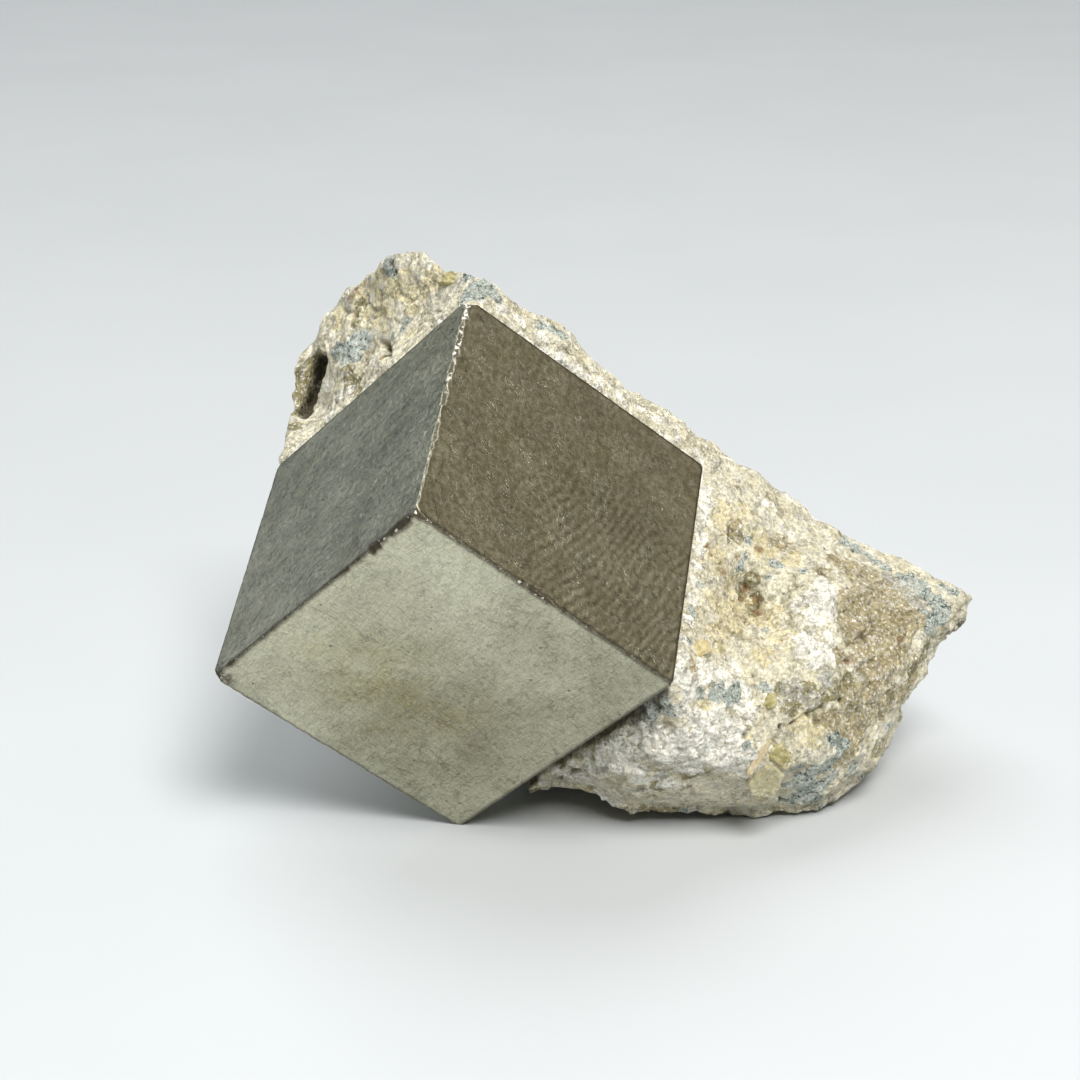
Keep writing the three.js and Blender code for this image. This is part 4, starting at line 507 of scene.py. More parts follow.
# ---------------------------------------------------------------- matrix material
def matrix_material():
    t = Tree("matrix")
    relief = t.attr("relief")
    white, yellow, tan = t.attr("white"), t.attr("yellow"), t.attr("tan")
    khaki, grey, chl = t.attr("khaki"), t.attr("grey"), t.attr("chlorite")
    brown, dark = t.attr("brown"), t.attr("dark")
    # grains of three sizes, each with its own tone
    g1 = t.red(t.voronoi(1.35, "Color"))
    g2 = t.red(t.voronoi(3.3, "Color", where=t.stretch((1, 1, 1.35), (0.3, 0.5, 0.1))))
    g3 = t.red(t.voronoi(7.5, "Color"))
    soft = t.noise(0.45, 4.0, 0.6)
    fine = t.noise(5.5, 4.0, 0.65)
    middle = t.noise(1.6, 4.0, 0.62)

    def crisp(mask, grain, lo=0.34, hi=0.50):
        # the border of a mineral patch follows the grains
        v = t.math("ADD", mask, t.math("MULTIPLY", t.math("SUBTRACT", grain, 0.5), 0.34))
        v = t.math("ADD", v, t.math("MULTIPLY", t.math("SUBTRACT", middle, 0.5), 0.9))
        return t.ramp(v, lo, hi)

    white, yellow, tan = crisp(white, fine, 0.24, 0.46), crisp(yellow, g1[1], 0.28, 0.52), crisp(tan, g1[2], 0.26, 0.56)
    khaki, grey, chl = crisp(khaki, g2[2]), crisp(grey, g1[0]), crisp(chl, g2[0])
    c = t.mix(t.ramp(soft, 0.36, 0.62), lin(214, 206, 176), lin(234, 228, 204))
    c = t.mix(t.math("MULTIPLY", yellow, t.ramp(fine, 0.3, 0.6, 0.70, 1.0)), c, lin(226, 214, 172))
    # tan patches: own tan colour, made darker as painted shade on the right-hand side
    c = t.mix(t.math("MULTIPLY", tan, t.ramp(g2[0], 0.1, 0.9, 0.7, 1.0)), c, lin(166, 152, 113))
    # khaki patches: own olive colour, partly painted shade in the hollow and on the right-hand side
    c = t.mix(t.math("MULTIPLY", khaki, t.ramp(fine, 0.3, 0.65, 0.7, 1.0)), c, lin(142, 133, 92))
    c = t.mix(t.math("MULTIPLY", grey, t.ramp(g1[1], 0.1, 0.9, 0.4, 0.95)), c, lin(184, 183, 172))
    # white crushed grain, broken up by the grains themselves
    wmask = t.math("MULTIPLY", white, t.ramp(t.math("ADD", t.math("MULTIPLY", g2[1], 0.25), t.math("MULTIPLY", fine, 0.9)), 0.40, 0.60, 0.45, 1.0), clamp=True)
    c = t.mix(wmask, c, lin(252, 249, 237))
    # scattered pale and dark grains everywhere
    c = t.mix(t.ramp(g2[2], 0.78, 0.92, 0.0, 0.60), c, lin(238, 234, 220))
    c = t.mix(t.ramp(g2[0], 0.86, 0.97, 0.0, 0.35), c, lin(158, 148, 112))
    c = t.mix(t.ramp(g3[1], 0.86, 0.94, 0.0, 0.40), c, lin(244, 242, 233))
    c = t.mix(t.ramp(g3[0], 0.90, 0.96, 0.0, 0.35), c, lin(140, 130, 100))
    # small white cleavage flecks and thin dark seams between the grains
    fl = t.add("ShaderNodeTexVoronoi", feature="F1")
    t.put(fl.inputs["Vector"], t.stretch((1.0, 1.6, 0.75), (0.4, 0.9, 0.2)))
    fl.inputs["Scale"].default_value = 2.1
    flr = t.red(fl.outputs["Color"])
    fleck = t.math("MULTIPLY", t.ramp(fl.outputs["Distance"], 0.30, 0.20), t.ramp(flr[0], 0.62, 0.68))
    c = t.mix(t.math("MULTIPLY", fleck, 0.85), c, lin(250, 249, 243))
    seam = t.ramp(t.voronoi(2.4, "Distance", "DISTANCE_TO_EDGE", where=t.stretch((1, 1, 1.2), (0.1, 0.4, 0.6))), 0.045, 0.012)
    seam = t.math("MULTIPLY", seam, t.ramp(t.noise(0.9, 2.0, 0.5), 0.50, 0.62))
    c = t.mix(t.math("MULTIPLY", seam, 0.6), c, lin(120, 108, 78))
    # grain tone
    tone = t.math("ADD", t.math("MULTIPLY", t.math("SUBTRACT", g1[0], 0.5), 0.34), t.math("MULTIPLY", t.math("SUBTRACT", g2[1], 0.5), 0.34))
    tone = t.math("ADD", tone, t.math("MULTIPLY", t.math("SUBTRACT", fine, 0.5), 0.75))
    bright = t.add("ShaderNodeHueSaturation")
    t.put(bright.inputs["Color"], c)
    t.put(bright.inputs["Value"], t.math("ADD", 1.10, tone))
    c = bright.outputs[0]
    # chlorite: blue-grey flecks with nearly black grains
    cm = t.math("MULTIPLY", chl, t.ramp(t.math("ADD", t.math("MULTIPLY", g2[1], 0.55), t.math("MULTIPLY", t.noise(2.6, 3.0, 0.6), 0.75)), 0.14, 0.34), clamp=True)
    cc = t.mix(t.ramp(g3[2], 0.15, 0.85), lin(158, 170, 161), lin(214, 218, 206))
    cc = t.mix(t.math("MULTIPLY", t.ramp(g3[0], 0.50, 0.70), t.ramp(middle, 0.46, 0.60)), cc, lin(64, 80, 78))
    cc = t.mix(t.math("MULTIPLY", t.ramp(g2[2], 0.62, 0.74), t.ramp(fine, 0.40, 0.56)), cc, lin(222, 224, 214))
    c = t.mix(cm, c, cc)
    # rusty stains; painted shade in the hollows, cracks and the slot under the cube, with a few dark grains
    c = t.mix(t.math("MULTIPLY", brown, t.ramp(fine, 0.35, 0.6, 0.35, 0.9)), c, lin(150, 104, 56), "MIX")
    c = t.mix(t.math("MULTIPLY", dark, 0.85), c, lin(72, 66, 48))
    # painted shade in the low places and cracks of the relief, and a painted highlight on its high points
    c = t.mix(t.ramp(relief, -0.10, -0.9, 0.0, 0.75), c, lin(146, 138, 112), "MULTIPLY")
    c = t.mix(t.math("MULTIPLY", t.ramp(relief, 0.25, 0.9, 0.0, 0.75), t.ramp(fine, 0.42, 0.60)), c, lin(250, 248, 240))
    # bump below the mesh's own detail
    warped = t.add("ShaderNodeVectorMath", operation="ADD")
    t.put(warped.inputs[0], t.mm)
    wn = t.add("ShaderNodeTexNoise")
    t.put(wn.inputs["Vector"], t.mm)
    wn.inputs["Scale"].default_value = 1.6
    wn.inputs["Detail"].default_value = 3.0
    ws = t.add("ShaderNodeVectorMath", operation="SCALE")
    t.put(ws.inputs[0], wn.outputs["Color"])
    ws.inputs["Scale"].default_value = 0.55
    t.put(warped.inputs[1], ws.outputs[0])
    warped = warped.outputs[0]
    h = t.cleavage(1.1, 1.25, warped)
    h = t.math("ADD", h, t.cleavage(2.6, 1.35, warped))
    h = t.math("ADD", h, t.math("MULTIPLY", t.cleavage(6.0, 1.0), 0.8))
    h = t.math("ADD", h, t.math("MULTIPLY", t.math("SUBTRACT", t.noise(4.0, 5.0, 0.72), 0.5), 0.22))
    n = t.bump(h, 1.0, 0.001)
    rough = t.math("ADD", t.ramp(g2[2], 0.0, 1.0, 0.55, 0.90), t.math("MULTIPLY", t.math("SUBTRACT", fine, 0.5), 0.3))
    rough = t.math("SUBTRACT", rough, t.math("MULTIPLY", t.ramp(g3[2], 0.92, 0.95), 0.25))
    return t.finish(Base_Color=c, Roughness=rough, Normal=n, Specular_IOR_Level=0.22)


# ---------------------------------------------------------------- pyrite material
def pyrite_material():
    t = Tree("pyrite")
    chip, worn, cloud = t.attr("chip"), t.attr("worn"), t.attr("cloud")
    left, right, under = t.attr("face_left"), t.attr("face_right"), t.attr("face_under")
    fresh = t.attr("fresh")

    def along(axis):
        n = t.add("ShaderNodeVectorMath", operation="DOT_PRODUCT")
        t.put(n.inputs[0], t.mm)
        n.inputs[1].default_value = axis
        return t.math("SUBTRACT", n.outputs["Value"], float(NEAR @ axis))

    a, b, c = along(DA), along(DB), along(DC)
    own = t.add("ShaderNodeCombineXYZ")
    for i, v in enumerate((a, b, c)):
        t.put(own.inputs[i], v)
    own = own.outputs[0]

    def scaled(sx, sy, sz):
        n = t.add("ShaderNodeVectorMath", operation="MULTIPLY")
        t.put(n.inputs[0], own)
        n.inputs[1].default_value = (sx, sy, sz)
        return n.outputs[0]

    def turned(sa, sc, angle):
        # stretched coordinates turned within the left face
        ca, sn = math.cos(angle), math.sin(angle)
        p = t.math("ADD", t.math("MULTIPLY", a, ca * sa), t.math("MULTIPLY", c, sn * sa))
        q = t.math("ADD", t.math("MULTIPLY", a, -sn * sc), t.math("MULTIPLY", c, ca * sc))
        n = t.add("ShaderNodeCombineXYZ")
        t.put(n.inputs[0], p)
        t.put(n.inputs[1], b)
        t.put(n.inputs[2], q)
        return n.outputs[0]

    def line(scale, width, where, seed_detail=2.0, distortion=0.6):
        # thin curved lines: where a soft noise passes through its middle value
        v = t.math("ABSOLUTE", t.math("SUBTRACT", t.noise(scale, seed_detail, 0.5, where=where, distortion=distortion), 0.5))
        return t.ramp(v, 0.0, width, 1.0, 0.0)

    mott = t.noise(1.7, 5.0, 0.66, where=own, distortion=0.5)
    fine = t.noise(5.2, 4.0, 0.72, where=own, distortion=0.3)
    broad = t.noise(0.17, 3.0, 0.55, where=own)
    tone = t.math("MULTIPLY", t.math("SUBTRACT", mott, 0.5), t.math("SUBTRACT", 0.95, t.math("MULTIPLY", under, 0.55)))
    tone = t.math("ADD", tone, t.math("MULTIPLY", t.math("SUBTRACT", fine, 0.5), 1.2))
    tone = t.math("ADD", tone, t.math("MULTIPLY", t.math("SUBTRACT", broad, 0.5), 0.55))
    # left face: long soft streaks along one edge
    s1 = t.noise(1.0, 4.0, 0.62, where=scaled(1.7, 1.0, 0.30), distortion=0.6)
    s2 = t.noise(1.0, 3.0, 0.55, where=scaled(0.42, 1.0, 0.12), distortion=0.9)
    streak = t.math("ADD", t.math("MULTIPLY", t.math("SUBTRACT", s1, 0.5), 0.75), t.math("MULTIPLY", t.math("SUBTRACT", s2, 0.5), 0.75))
    s3 = t.noise(1.0, 4.0, 0.68, where=scaled(3.4, 1.0, 1.3), distortion=0.8)
    s4 = t.noise(1.0, 3.0, 0.6, where=turned(0.9, 3.2, 0.62))
    crease = t.math("MAXIMUM", line(0.5, 0.035, turned(0.7, 2.2, -0.9), 3.0, 0.4), line(0.42, 0.022, turned(0.5, 2.0, 0.35), 3.0, 0.5))
    streak = t.math("ADD", streak, t.math("MULTIPLY", t.math("SUBTRACT", s3, 0.5), 1.1))
    streak = t.math("ADD", streak, t.math("MULTIPLY", t.math("SUBTRACT", s4, 0.5), 0.8))
    streak = t.math("SUBTRACT", streak, t.math("MULTIPLY", crease, 0.30))
    tone = t.math("ADD", tone, t.math("MULTIPLY", streak, left))
    # lower face: fine brushed grain across it
    u1 = t.noise(1.0, 4.0, 0.66, where=scaled(1.0, 1.1, 3.6), distortion=0.5)
    u2 = t.noise(1.0, 3.0, 0.6, where=scaled(1.0, 3.4, 1.0), distortion=0.7)
    brushed = t.math("ADD", t.math("MULTIPLY", t.math("SUBTRACT", u1, 0.5), 0.75), t.math("MULTIPLY", t.math("SUBTRACT", u2, 0.5), 0.55))
    tone = t.math("ADD", tone, t.math("MULTIPLY", brushed, under))
    # right face: ripples
    warp = t.math("MULTIPLY", t.math("SUBTRACT", t.noise(0.10, 1.0, 0.5, where=own), 0.5), 4.0)
    warp = t.math("ADD", warp, t.math("MULTIPLY", t.math("SUBTRACT", t.noise(0.9, 2.0, 0.5, where=own), 0.5), 0.55))
    ph = t.math("ADD", t.math("ADD", t.math("MULTIPLY", a, -0.42), t.math("MULTIPLY", b, 0.90)), warp)
    wave = t.math("SINE", t.math("MULTIPLY", ph, 2 * math.pi / 0.86))
    zone = t.math("MULTIPLY", t.ramp(b, 7.0, 15.0), t.ramp(t.math("ADD", a, t.math("MULTIPLY", broad, 6.0)), 24.0, 14.0))
    zone = t.math("MULTIPLY", zone, t.math("MULTIPLY", right, t.ramp(t.noise(0.8, 2.0, 0.5, where=own), 0.34, 0.58, 0.25, 1.0)))
    ripple = t.math("MULTIPLY", wave, zone)
    tone = t.math("ADD", tone, t.math("MULTIPLY", ripple, 0.22))
    # scratches: fans on the right face, crossing threads on the lower one
    l1 = line(0.55, 0.030, scaled(0.7, 2.6, 0.7))
    l2 = line(0.75, 0.024, scaled(2.0, 0.7, 0.8), 3.0)
    l3 = line(0.42, 0.020, scaled(0.9, 1.0, 2.3), 3.0, 1.0)
    l4 = t.math("MULTIPLY", line(0.34, 0.010, scaled(1.0, 0.5, 1.5), 2.0, 0.8), under)
    l5 = t.math("MULTIPLY", line(0.60, 0.014, scaled(1.0, 1.5, 0.55), 2.0, 0.6), under)
    patchy = t.ramp(t.noise(0.33, 2.0, 0.5, where=own), 0.46, 0.62)
    patchy2 = t.ramp(t.noise(0.41, 2.0, 0.5, where=scaled(1, 1.3, 1)), 0.44, 0.60)
    scr = t.math("MULTIPLY", t.math("MAXIMUM", t.math("MULTIPLY", l1, patchy), t.math("MULTIPLY", t.math("MAXIMUM", l2, l3), patchy2)), t.ramp(fine, 0.38, 0.56, 0.25, 1.0))
    scr = t.math("MAXIMUM", scr, t.math("MULTIPLY", t.math("MAXIMUM", l4, l5), 0.75))
    tone = t.math("SUBTRACT", tone, t.math("MULTIPLY", scr, t.math("SUBTRACT", 0.42, t.math("MULTIPLY", under, 0.06))))
    # painted reflection: the lower face is painted paler towards the near corner and darker and duller towards the tip
    # it stands on, where it mirrors the shadowed floor
    fall = t.ramp(t.math("ADD", t.math("MULTIPLY", b, 1.15), t.math("MULTIPLY", c, 0.65)), 2.0, 44.0, 0.10, -0.22)
    tone = t.math("ADD", tone, t.math("MULTIPLY", fall, under))
    gain = t.math("ADD", 1.0, t.math("MULTIPLY", tone, 0.95))
    base = t.mix(t.ramp(broad, 0.35, 0.65), (0.515, 0.500, 0.372), (0.560, 0.546, 0.414))
    base = t.mix(t.math("MULTIPLY", cloud, t.ramp(mott, 0.34, 0.60, 0.30, 1.0)), base, (0.375, 0.345, 0.195))
    grey = t.add("ShaderNodeVectorMath", operation="SCALE")
    t.put(grey.inputs[0], base)
    t.put(grey.inputs["Scale"], t.math("MAXIMUM", gain, 0.25))
    base = grey.outputs[0]
    # grime along the edges, broken metal in spots
    base = t.mix(t.math("MULTIPLY", chip, 0.85), base, t.mix(t.ramp(fine, 0.36, 0.62), (0.060, 0.048, 0.034), (0.155, 0.132, 0.095)))
    base = t.mix(t.math("MULTIPLY", worn, t.ramp(fine, 0.34, 0.54, 0.35, 0.95)), base, (0.085, 0.070, 0.048))
    cell = t.red(t.voronoi(3.9, "Color", where=own))
    spark = t.math("MULTIPLY", t.ramp(cell[0], 0.70, 0.76), t.math("MULTIPLY", chip, fresh))
    base = t.mix(spark, base, (0.90, 0.87, 0.78))
    rare = t.math("MULTIPLY", t.ramp(cell[1], 0.93, 0.95), t.math("MULTIPLY", chip, 0.9))
    base = t.mix(rare, base, (0.85, 0.82, 0.74))
    pits = t.ramp(t.voronoi(0.62, "Distance", where=own), 0.12, 0.05)
    pitmask = t.math("MULTIPLY", pits, t.ramp(t.red(t.voronoi(0.62, "Color", where=own))[1], 0.66, 0.74))
    base = t.mix(t.math("MULTIPLY", pitmask, 0.7), base, (0.11, 0.09, 0.055))
    rough = t.math("ADD", t.ramp(mott, 0.3, 0.7, 0.30, 0.44), t.math("MULTIPLY", chip, 0.35))
    h = t.math("ADD", t.math("MULTIPLY", mott, 0.55), t.math("MULTIPLY", fine, 0.30))
    h = t.math("ADD", h, t.math("MULTIPLY", t.math("MULTIPLY", streak, left), 0.5))
    h = t.math("ADD", h, t.math("MULTIPLY", t.math("MULTIPLY", brushed, under), 0.5))
    h = t.math("ADD", h, t.math("MULTIPLY", ripple, 0.10))
    h = t.math("SUBTRACT", h, t.math("ADD", t.math("MULTIPLY", scr, 0.22), t.math("MULTIPLY", pitmask, 0.4)))
    n = t.bump(h, 0.6, 0.00014)
    return t.finish(Base_Color=base, Metallic=1.0, Roughness=rough, Normal=n)


def crystal_material(name, low, high, vein, rough):
    t = Tree(name)
    a = t.noise(1.1, 4.0, 0.6, distortion=0.4)
    g = t.red(t.voronoi(4.2, "Color"))
    c = t.mix(t.ramp(a, 0.35, 0.65), low, high)
    c = t.mix(t.ramp(g[0], 0.62, 0.92, 0.0, 0.45), c, vein)
    rim = t.attr("rim")
    c = t.mix(t.math("MULTIPLY", rim, t.ramp(t.noise(4.0, 3.0, 0.6), 0.40, 0.62, 0.0, 0.7)), c, lin(216, 208, 180))
    h = t.math("ADD", t.noise(3.2, 4.0, 0.6), t.math("MULTIPLY", g[1], 0.35))
    n = t.bump(h, 0.5, 0.00010)
    return t.finish(Base_Color=c, Roughness=t.ramp(a, 0.3, 0.7, rough, rough + 0.2), Normal=n)


# each small crystal: the way its face looks, and how far it is lifted out of the rock
CRYSTALS = {
    "tabular_crystal": ((0.241, -0.945, -0.221), 0.05),
    "olive_crystal_lower": ((0.509, -0.855, 0.102), 0.0),
    "brown_blade": ((0.020, -0.995, 0.101), 0.05),
    "olive_crystal_upper": ((-0.451, -0.621, 0.641), 0.0),
    "olive_crystal_front": ((0.251, -0.862, 0.441), 0.0),
    "honey_crystal": ((0.480, -0.700, 0.530), 0.0),
}


# ---------------------------------------------------------------- the rock
def build_rock():
    V, F = merged(*read_mesh(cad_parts["matrix_rock"]))
    tops = []
    for node, (normal, _) in CRYSTALS.items():
        v, f = merged(*read_mesh(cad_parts[node]))
        normal = np.array(normal) / np.linalg.norm(normal)
        top = ((v - v.mean(0)) @ normal).max()
        tops.append((v.mean(0) + normal * top, normal, np.linalg.norm(v - v.mean(0), axis=1).max()))
        v = v + vertex_normals(v, f) * 0.42 - normal * 0.62
        F = np.concatenate([F, f + len(V)])
        V = np.concatenate([V, v])
    V, F = voxels(V, F, 0.46)
    V = relax(V, F, 3, 0.5)
    wall0, _, q0 = cube_distance(V)
    eye = np.array([-6.29, -219.92, 102.88])

    N0 = vertex_normals(V, F)
    # the part of the surface turned to the front is meshed finer
    to_eye = eye - V
    to_eye /= np.linalg.norm(to_eye, axis=1, keepdims=True)
    facing = (N0 * to_eye).sum(1) > -0.12
    hidden = in_cube(V)
    touching = (cube_distance(V)[0] < 0.75) & (hidden > 1.6).all(1) & (hidden < EDGE - 1.6).any(1)
    fine = facing[F].any(1) & ~(touching[F].all(1))
    FA, FB = F[fine], F[~fine]
    # both halves share their border, so the split keeps to edges inside the fine half and the border stays whole
    U, inv = edges_of(F)
    count = np.zeros(len(U), int)
    np.add.at(count, inv[fine].ravel(), 1)
    border = np.zeros(len(V), bool)
    border[U[count == 1].ravel()] = True
    bset = V[border]

    def target_fine(mid):
        return np.full(len(mid), 0.235)

    keyed = {tuple(np.round((V[a] + V[b]) / 2, 5)) for a, b in U[count == 1]}

    def target_safe(mid):
        t = target_fine(mid)
        k = np.round(mid, 5)
        hit = np.fromiter((tuple(r) in keyed for r in k), bool, len(k))
        t[hit] = 9.0
        return t

    used = np.unique(FA)
    VA, FA2 = refine(V, FA, target_safe, 2)
    V, F = VA, np.concatenate([FA2, FB])
    V = relax(V, F, 1, 0.35)
    N = vertex_normals(V, F)
    P = V.copy()
    jit = np.stack([perlin(P / 0.9, 41), perlin(P / 0.9, 42), perlin(P / 0.9, 43)], 1)
    jit2 = np.stack([perlin(P / 2.6, 44), perlin(P / 2.6, 45), perlin(P / 2.6, 46)], 1)

    m = {}
    m["chlorite"] = patches(P, [(x, y, z, 1.3 * r) for x, y, z, r in CHLORITE], jit, 0.35)
    m["white"] = patches(P, [(x, y, z, 1.25 * r) for x, y, z, r in WHITE], jit, 0.4)
    m["yellow"] = patches(P, [(x, y, z, 1.1 * r) for x, y, z, r in YELLOW], jit, 0.4)
    m["tan"] = patches(P, [(x, y, z, 1.1 * r) for x, y, z, r in TAN], jit, 0.4)
    m["khaki"] = patches(P, KHAKI, jit, 0.45)
    m["grey"] = patches(P, GREY, jit, 0.45)
    m["brown"] = patches(P, BROWN, jit, 0.6)
    m["dark"] = patches(P, DARK, jit, 0.6)
    wall, out, q = cube_distance(P)
    # how far the surface is turned away from the front: unseen parts carry the same minerals by chance
    te = eye - P
    te /= np.linalg.norm(te, axis=1, keepdims=True)
    away = smooth(0.12, -0.18, (N * te).sum(1))
    big = fbm(P / 5.5, 61, 3)
    spots = fbm(P / 1.9, 65, 3)
    m["chlorite"] = np.maximum(m["chlorite"], away * smooth(0.30, 0.48, spots + 0.45 * big))
    m["white"] = np.maximum(m["white"], away * smooth(0.08, 0.40, fbm(P / 2.6, 71, 3) - 0.25 * big))
    m["yellow"] = np.maximum(m["yellow"], away * smooth(0.0, 0.35, big))
    m["tan"] = np.maximum(m["tan"], away * smooth(0.05, 0.35, fbm(P / 6.5, 75, 2)))
    m["khaki"] = np.maximum(m["khaki"], away * 0.8 * smooth(0.12, 0.42, fbm(P / 4.0, 79, 3)))
    m["grey"] = np.maximum(m["grey"], away * 0.7 * smooth(0.15, 0.45, fbm(P / 4.6, 83, 3)))
    m["brown"] = np.maximum(m["brown"], away * smooth(0.42, 0.56, fbm(P / 1.6, 87, 2)))
    # crushed white fringe against the cube
    fringe = smooth(1.25 + 0.5 * jit[:, 0], 0.25, wall)
    m["white"] = np.maximum(m["white"], fringe * smooth(-0.55, -0.05, fbm(P / 0.8, 91, 2)))

    # painted shade in the slot under the cube's lower right edge
    rim = [NEAR + DB * EDGE[1] + DC * 1.0, NEAR + DB * EDGE[1] + DC * (EDGE[2] - 1.0)]
    slot = sunk(P, eye, [(rim, 0.50, 1.0)], 0.35 * jit) * smooth(8.0, 3.0, wall)
    slot = np.maximum(slot, smooth(1.35, 0.75, wall + 0.22 * jit[:, 1]) * smooth(-0.5, 0.0, q[:, 1] - EDGE[1]) * smooth(9.0, 4.0, q[:, 0]))
    m["white"] *= 1 - slot
    m["dark"] = np.maximum(m["dark"], slot)

    # relief: chunks, crystalline grain and pits
    f1, h1, _ = facets(P / 3.1 + 0.35 * jit2, 101)
    f2, h2, _ = facets(P / 1.45 + 0.25 * jit, 102)
    f3, h3, _ = facets(P / 0.72 + 0.1 * jit, 103)
    r1 = 1 - 2 * np.abs(fbm(P / 2.4, 111, 2))
    r2 = fbm(P / 0.62, 121, 2)
    calm = np.clip(m["yellow"] * 0.5 + m["tan"] * 0.4 + m["khaki"] * 0.3, 0, 0.75)
    flake = fbm(P @ np.array([[0.55, -0.25, 0.5], [0.9, 0.3, -0.2], [1.9, 0.8, 2.2]]).T / 1.5, 131, 3)
    f0, _, _ = facets(P / 6.5 + 0.30 * jit2, 100)
    rug = smooth(-0.25, 0.45, fbm(P / 3.3, 141, 2))  # smoother broken faces alternate with crumbly ones
    h = 0.26 * f0 + 0.24 * f1 + (0.09 + 0.14 * rug) * f2 + (0.05 + 0.10 * rug) * f3 + 0.10 * (r1 - 0.45) + 0.05 * r2
    h += 0.08 * flake * (0.35 + 0.65 * m["white"])
    h += 0.10 * m["white"] * r2
    h -= near_lines(P, CRACKS, 0.5 * jit)
    h += near_lines(P, RIDGES, 0.4 * jit)
    for at, normal, r in tops:
        near = smooth(1.25 * r, 0.75 * r, np.linalg.norm(P - at, axis=1))
        h = h * (1 - 0.75 * near)
    # the lobe beside the hollow is smooth, with sharp lips
    lobe = smooth(7.5, 4.0, np.linalg.norm(P - np.array(HOLLOWS[0][0][2]), axis=1))
    h = h * (1 - 0.62 * lobe)
    down = smooth(-0.2, -0.7, N[:, 2]) * (1 - away)
    h = h * (1 - 0.5 * down) - 0.62 * down
    pit = sunk(P, eye, HOLLOWS, 0.12 * jit) * smooth(-0.2, 0.1, (N * te).sum(1))
    # painted shade inside the hollows
    m["dark"] = np.maximum(m["dark"], smooth(0.7, 2.0, pit))
    h -= 0.22 * m["dark"] + 0.45 * slot
    # quiet where it meets the cube's hidden faces and the table
    deep = (q > 0.9).all(1) & ((q < EDGE - 0.9).any(1)) & (wall < 0.8)
    h = np.where(deep, 0.0, h)
    foot = smooth(0.6, 0.1, P[:, 2])
    h = h * (1 - foot)
    pit = pit * (1 - foot)
    V = P + N * h[:, None] + pit[:, None] * np.array([0.16, 0.93, -0.32])
    # a deep hollow at the left of the top, and the notch of the point, are in the block itself: only their lips are sharpened
    d, dirn, q = cube_distance(V)
    gap = 0.10
    V = V + dirn * np.maximum(gap - d, 0)[:, None]
    # next to the cube's outline the rock closes up to it
    V[:, 2] = np.maximum(V[:, 2], 0.0)
    # relief for the colour, where cracks count as low places: it drives the painted shade and painted highlight of the
    # matrix
    rel = 0.7 * f1 + 0.8 * f2 * (0.4 + 0.6 * rug) + 0.6 * f3 * (0.4 + 0.6 * rug) + 0.7 * r2 + 0.5 * r1 + 0.4 * flake - 2.0 * near_lines(P, CRACKS, 0.5 * jit)
    rel = rel / 1.6
    m["relief"] = np.clip(rel, -1, 1)
    return make_mesh("matrix", V, F, MATRIX, m)


# ---------------------------------------------------------------- the cube
def graded(length, fine, coarse, reach, lo=True, hi=True):
    """Distances along an edge, closer together near its ends."""
    s = [0.0]
    while s[-1] < length:
        x = s[-1]
        d = 1e9
        if lo:
            d = min(d, x)
        if hi:
            d = min(d, length - x)
        s.append(x + fine + (coarse - fine) * min(1.0, max(0.0, d / reach)))
    s = np.array(s)
    return s * (length / s[-1])


def chip_depth(t, seed, base, size, top=None):
    """A jagged line of break along an edge."""
    p = np.stack([t / size, np.full_like(t, 0.37 * seed), np.full_like(t, 1.7)], 1)
    c, _, _ = facets(p, seed, 0.6)
    n = fbm(p * 2.1, seed + 5, 3)
    v = np.clip(0.55 + 0.8 * c + 0.7 * n, 0.0, 2.0)
    return base * v


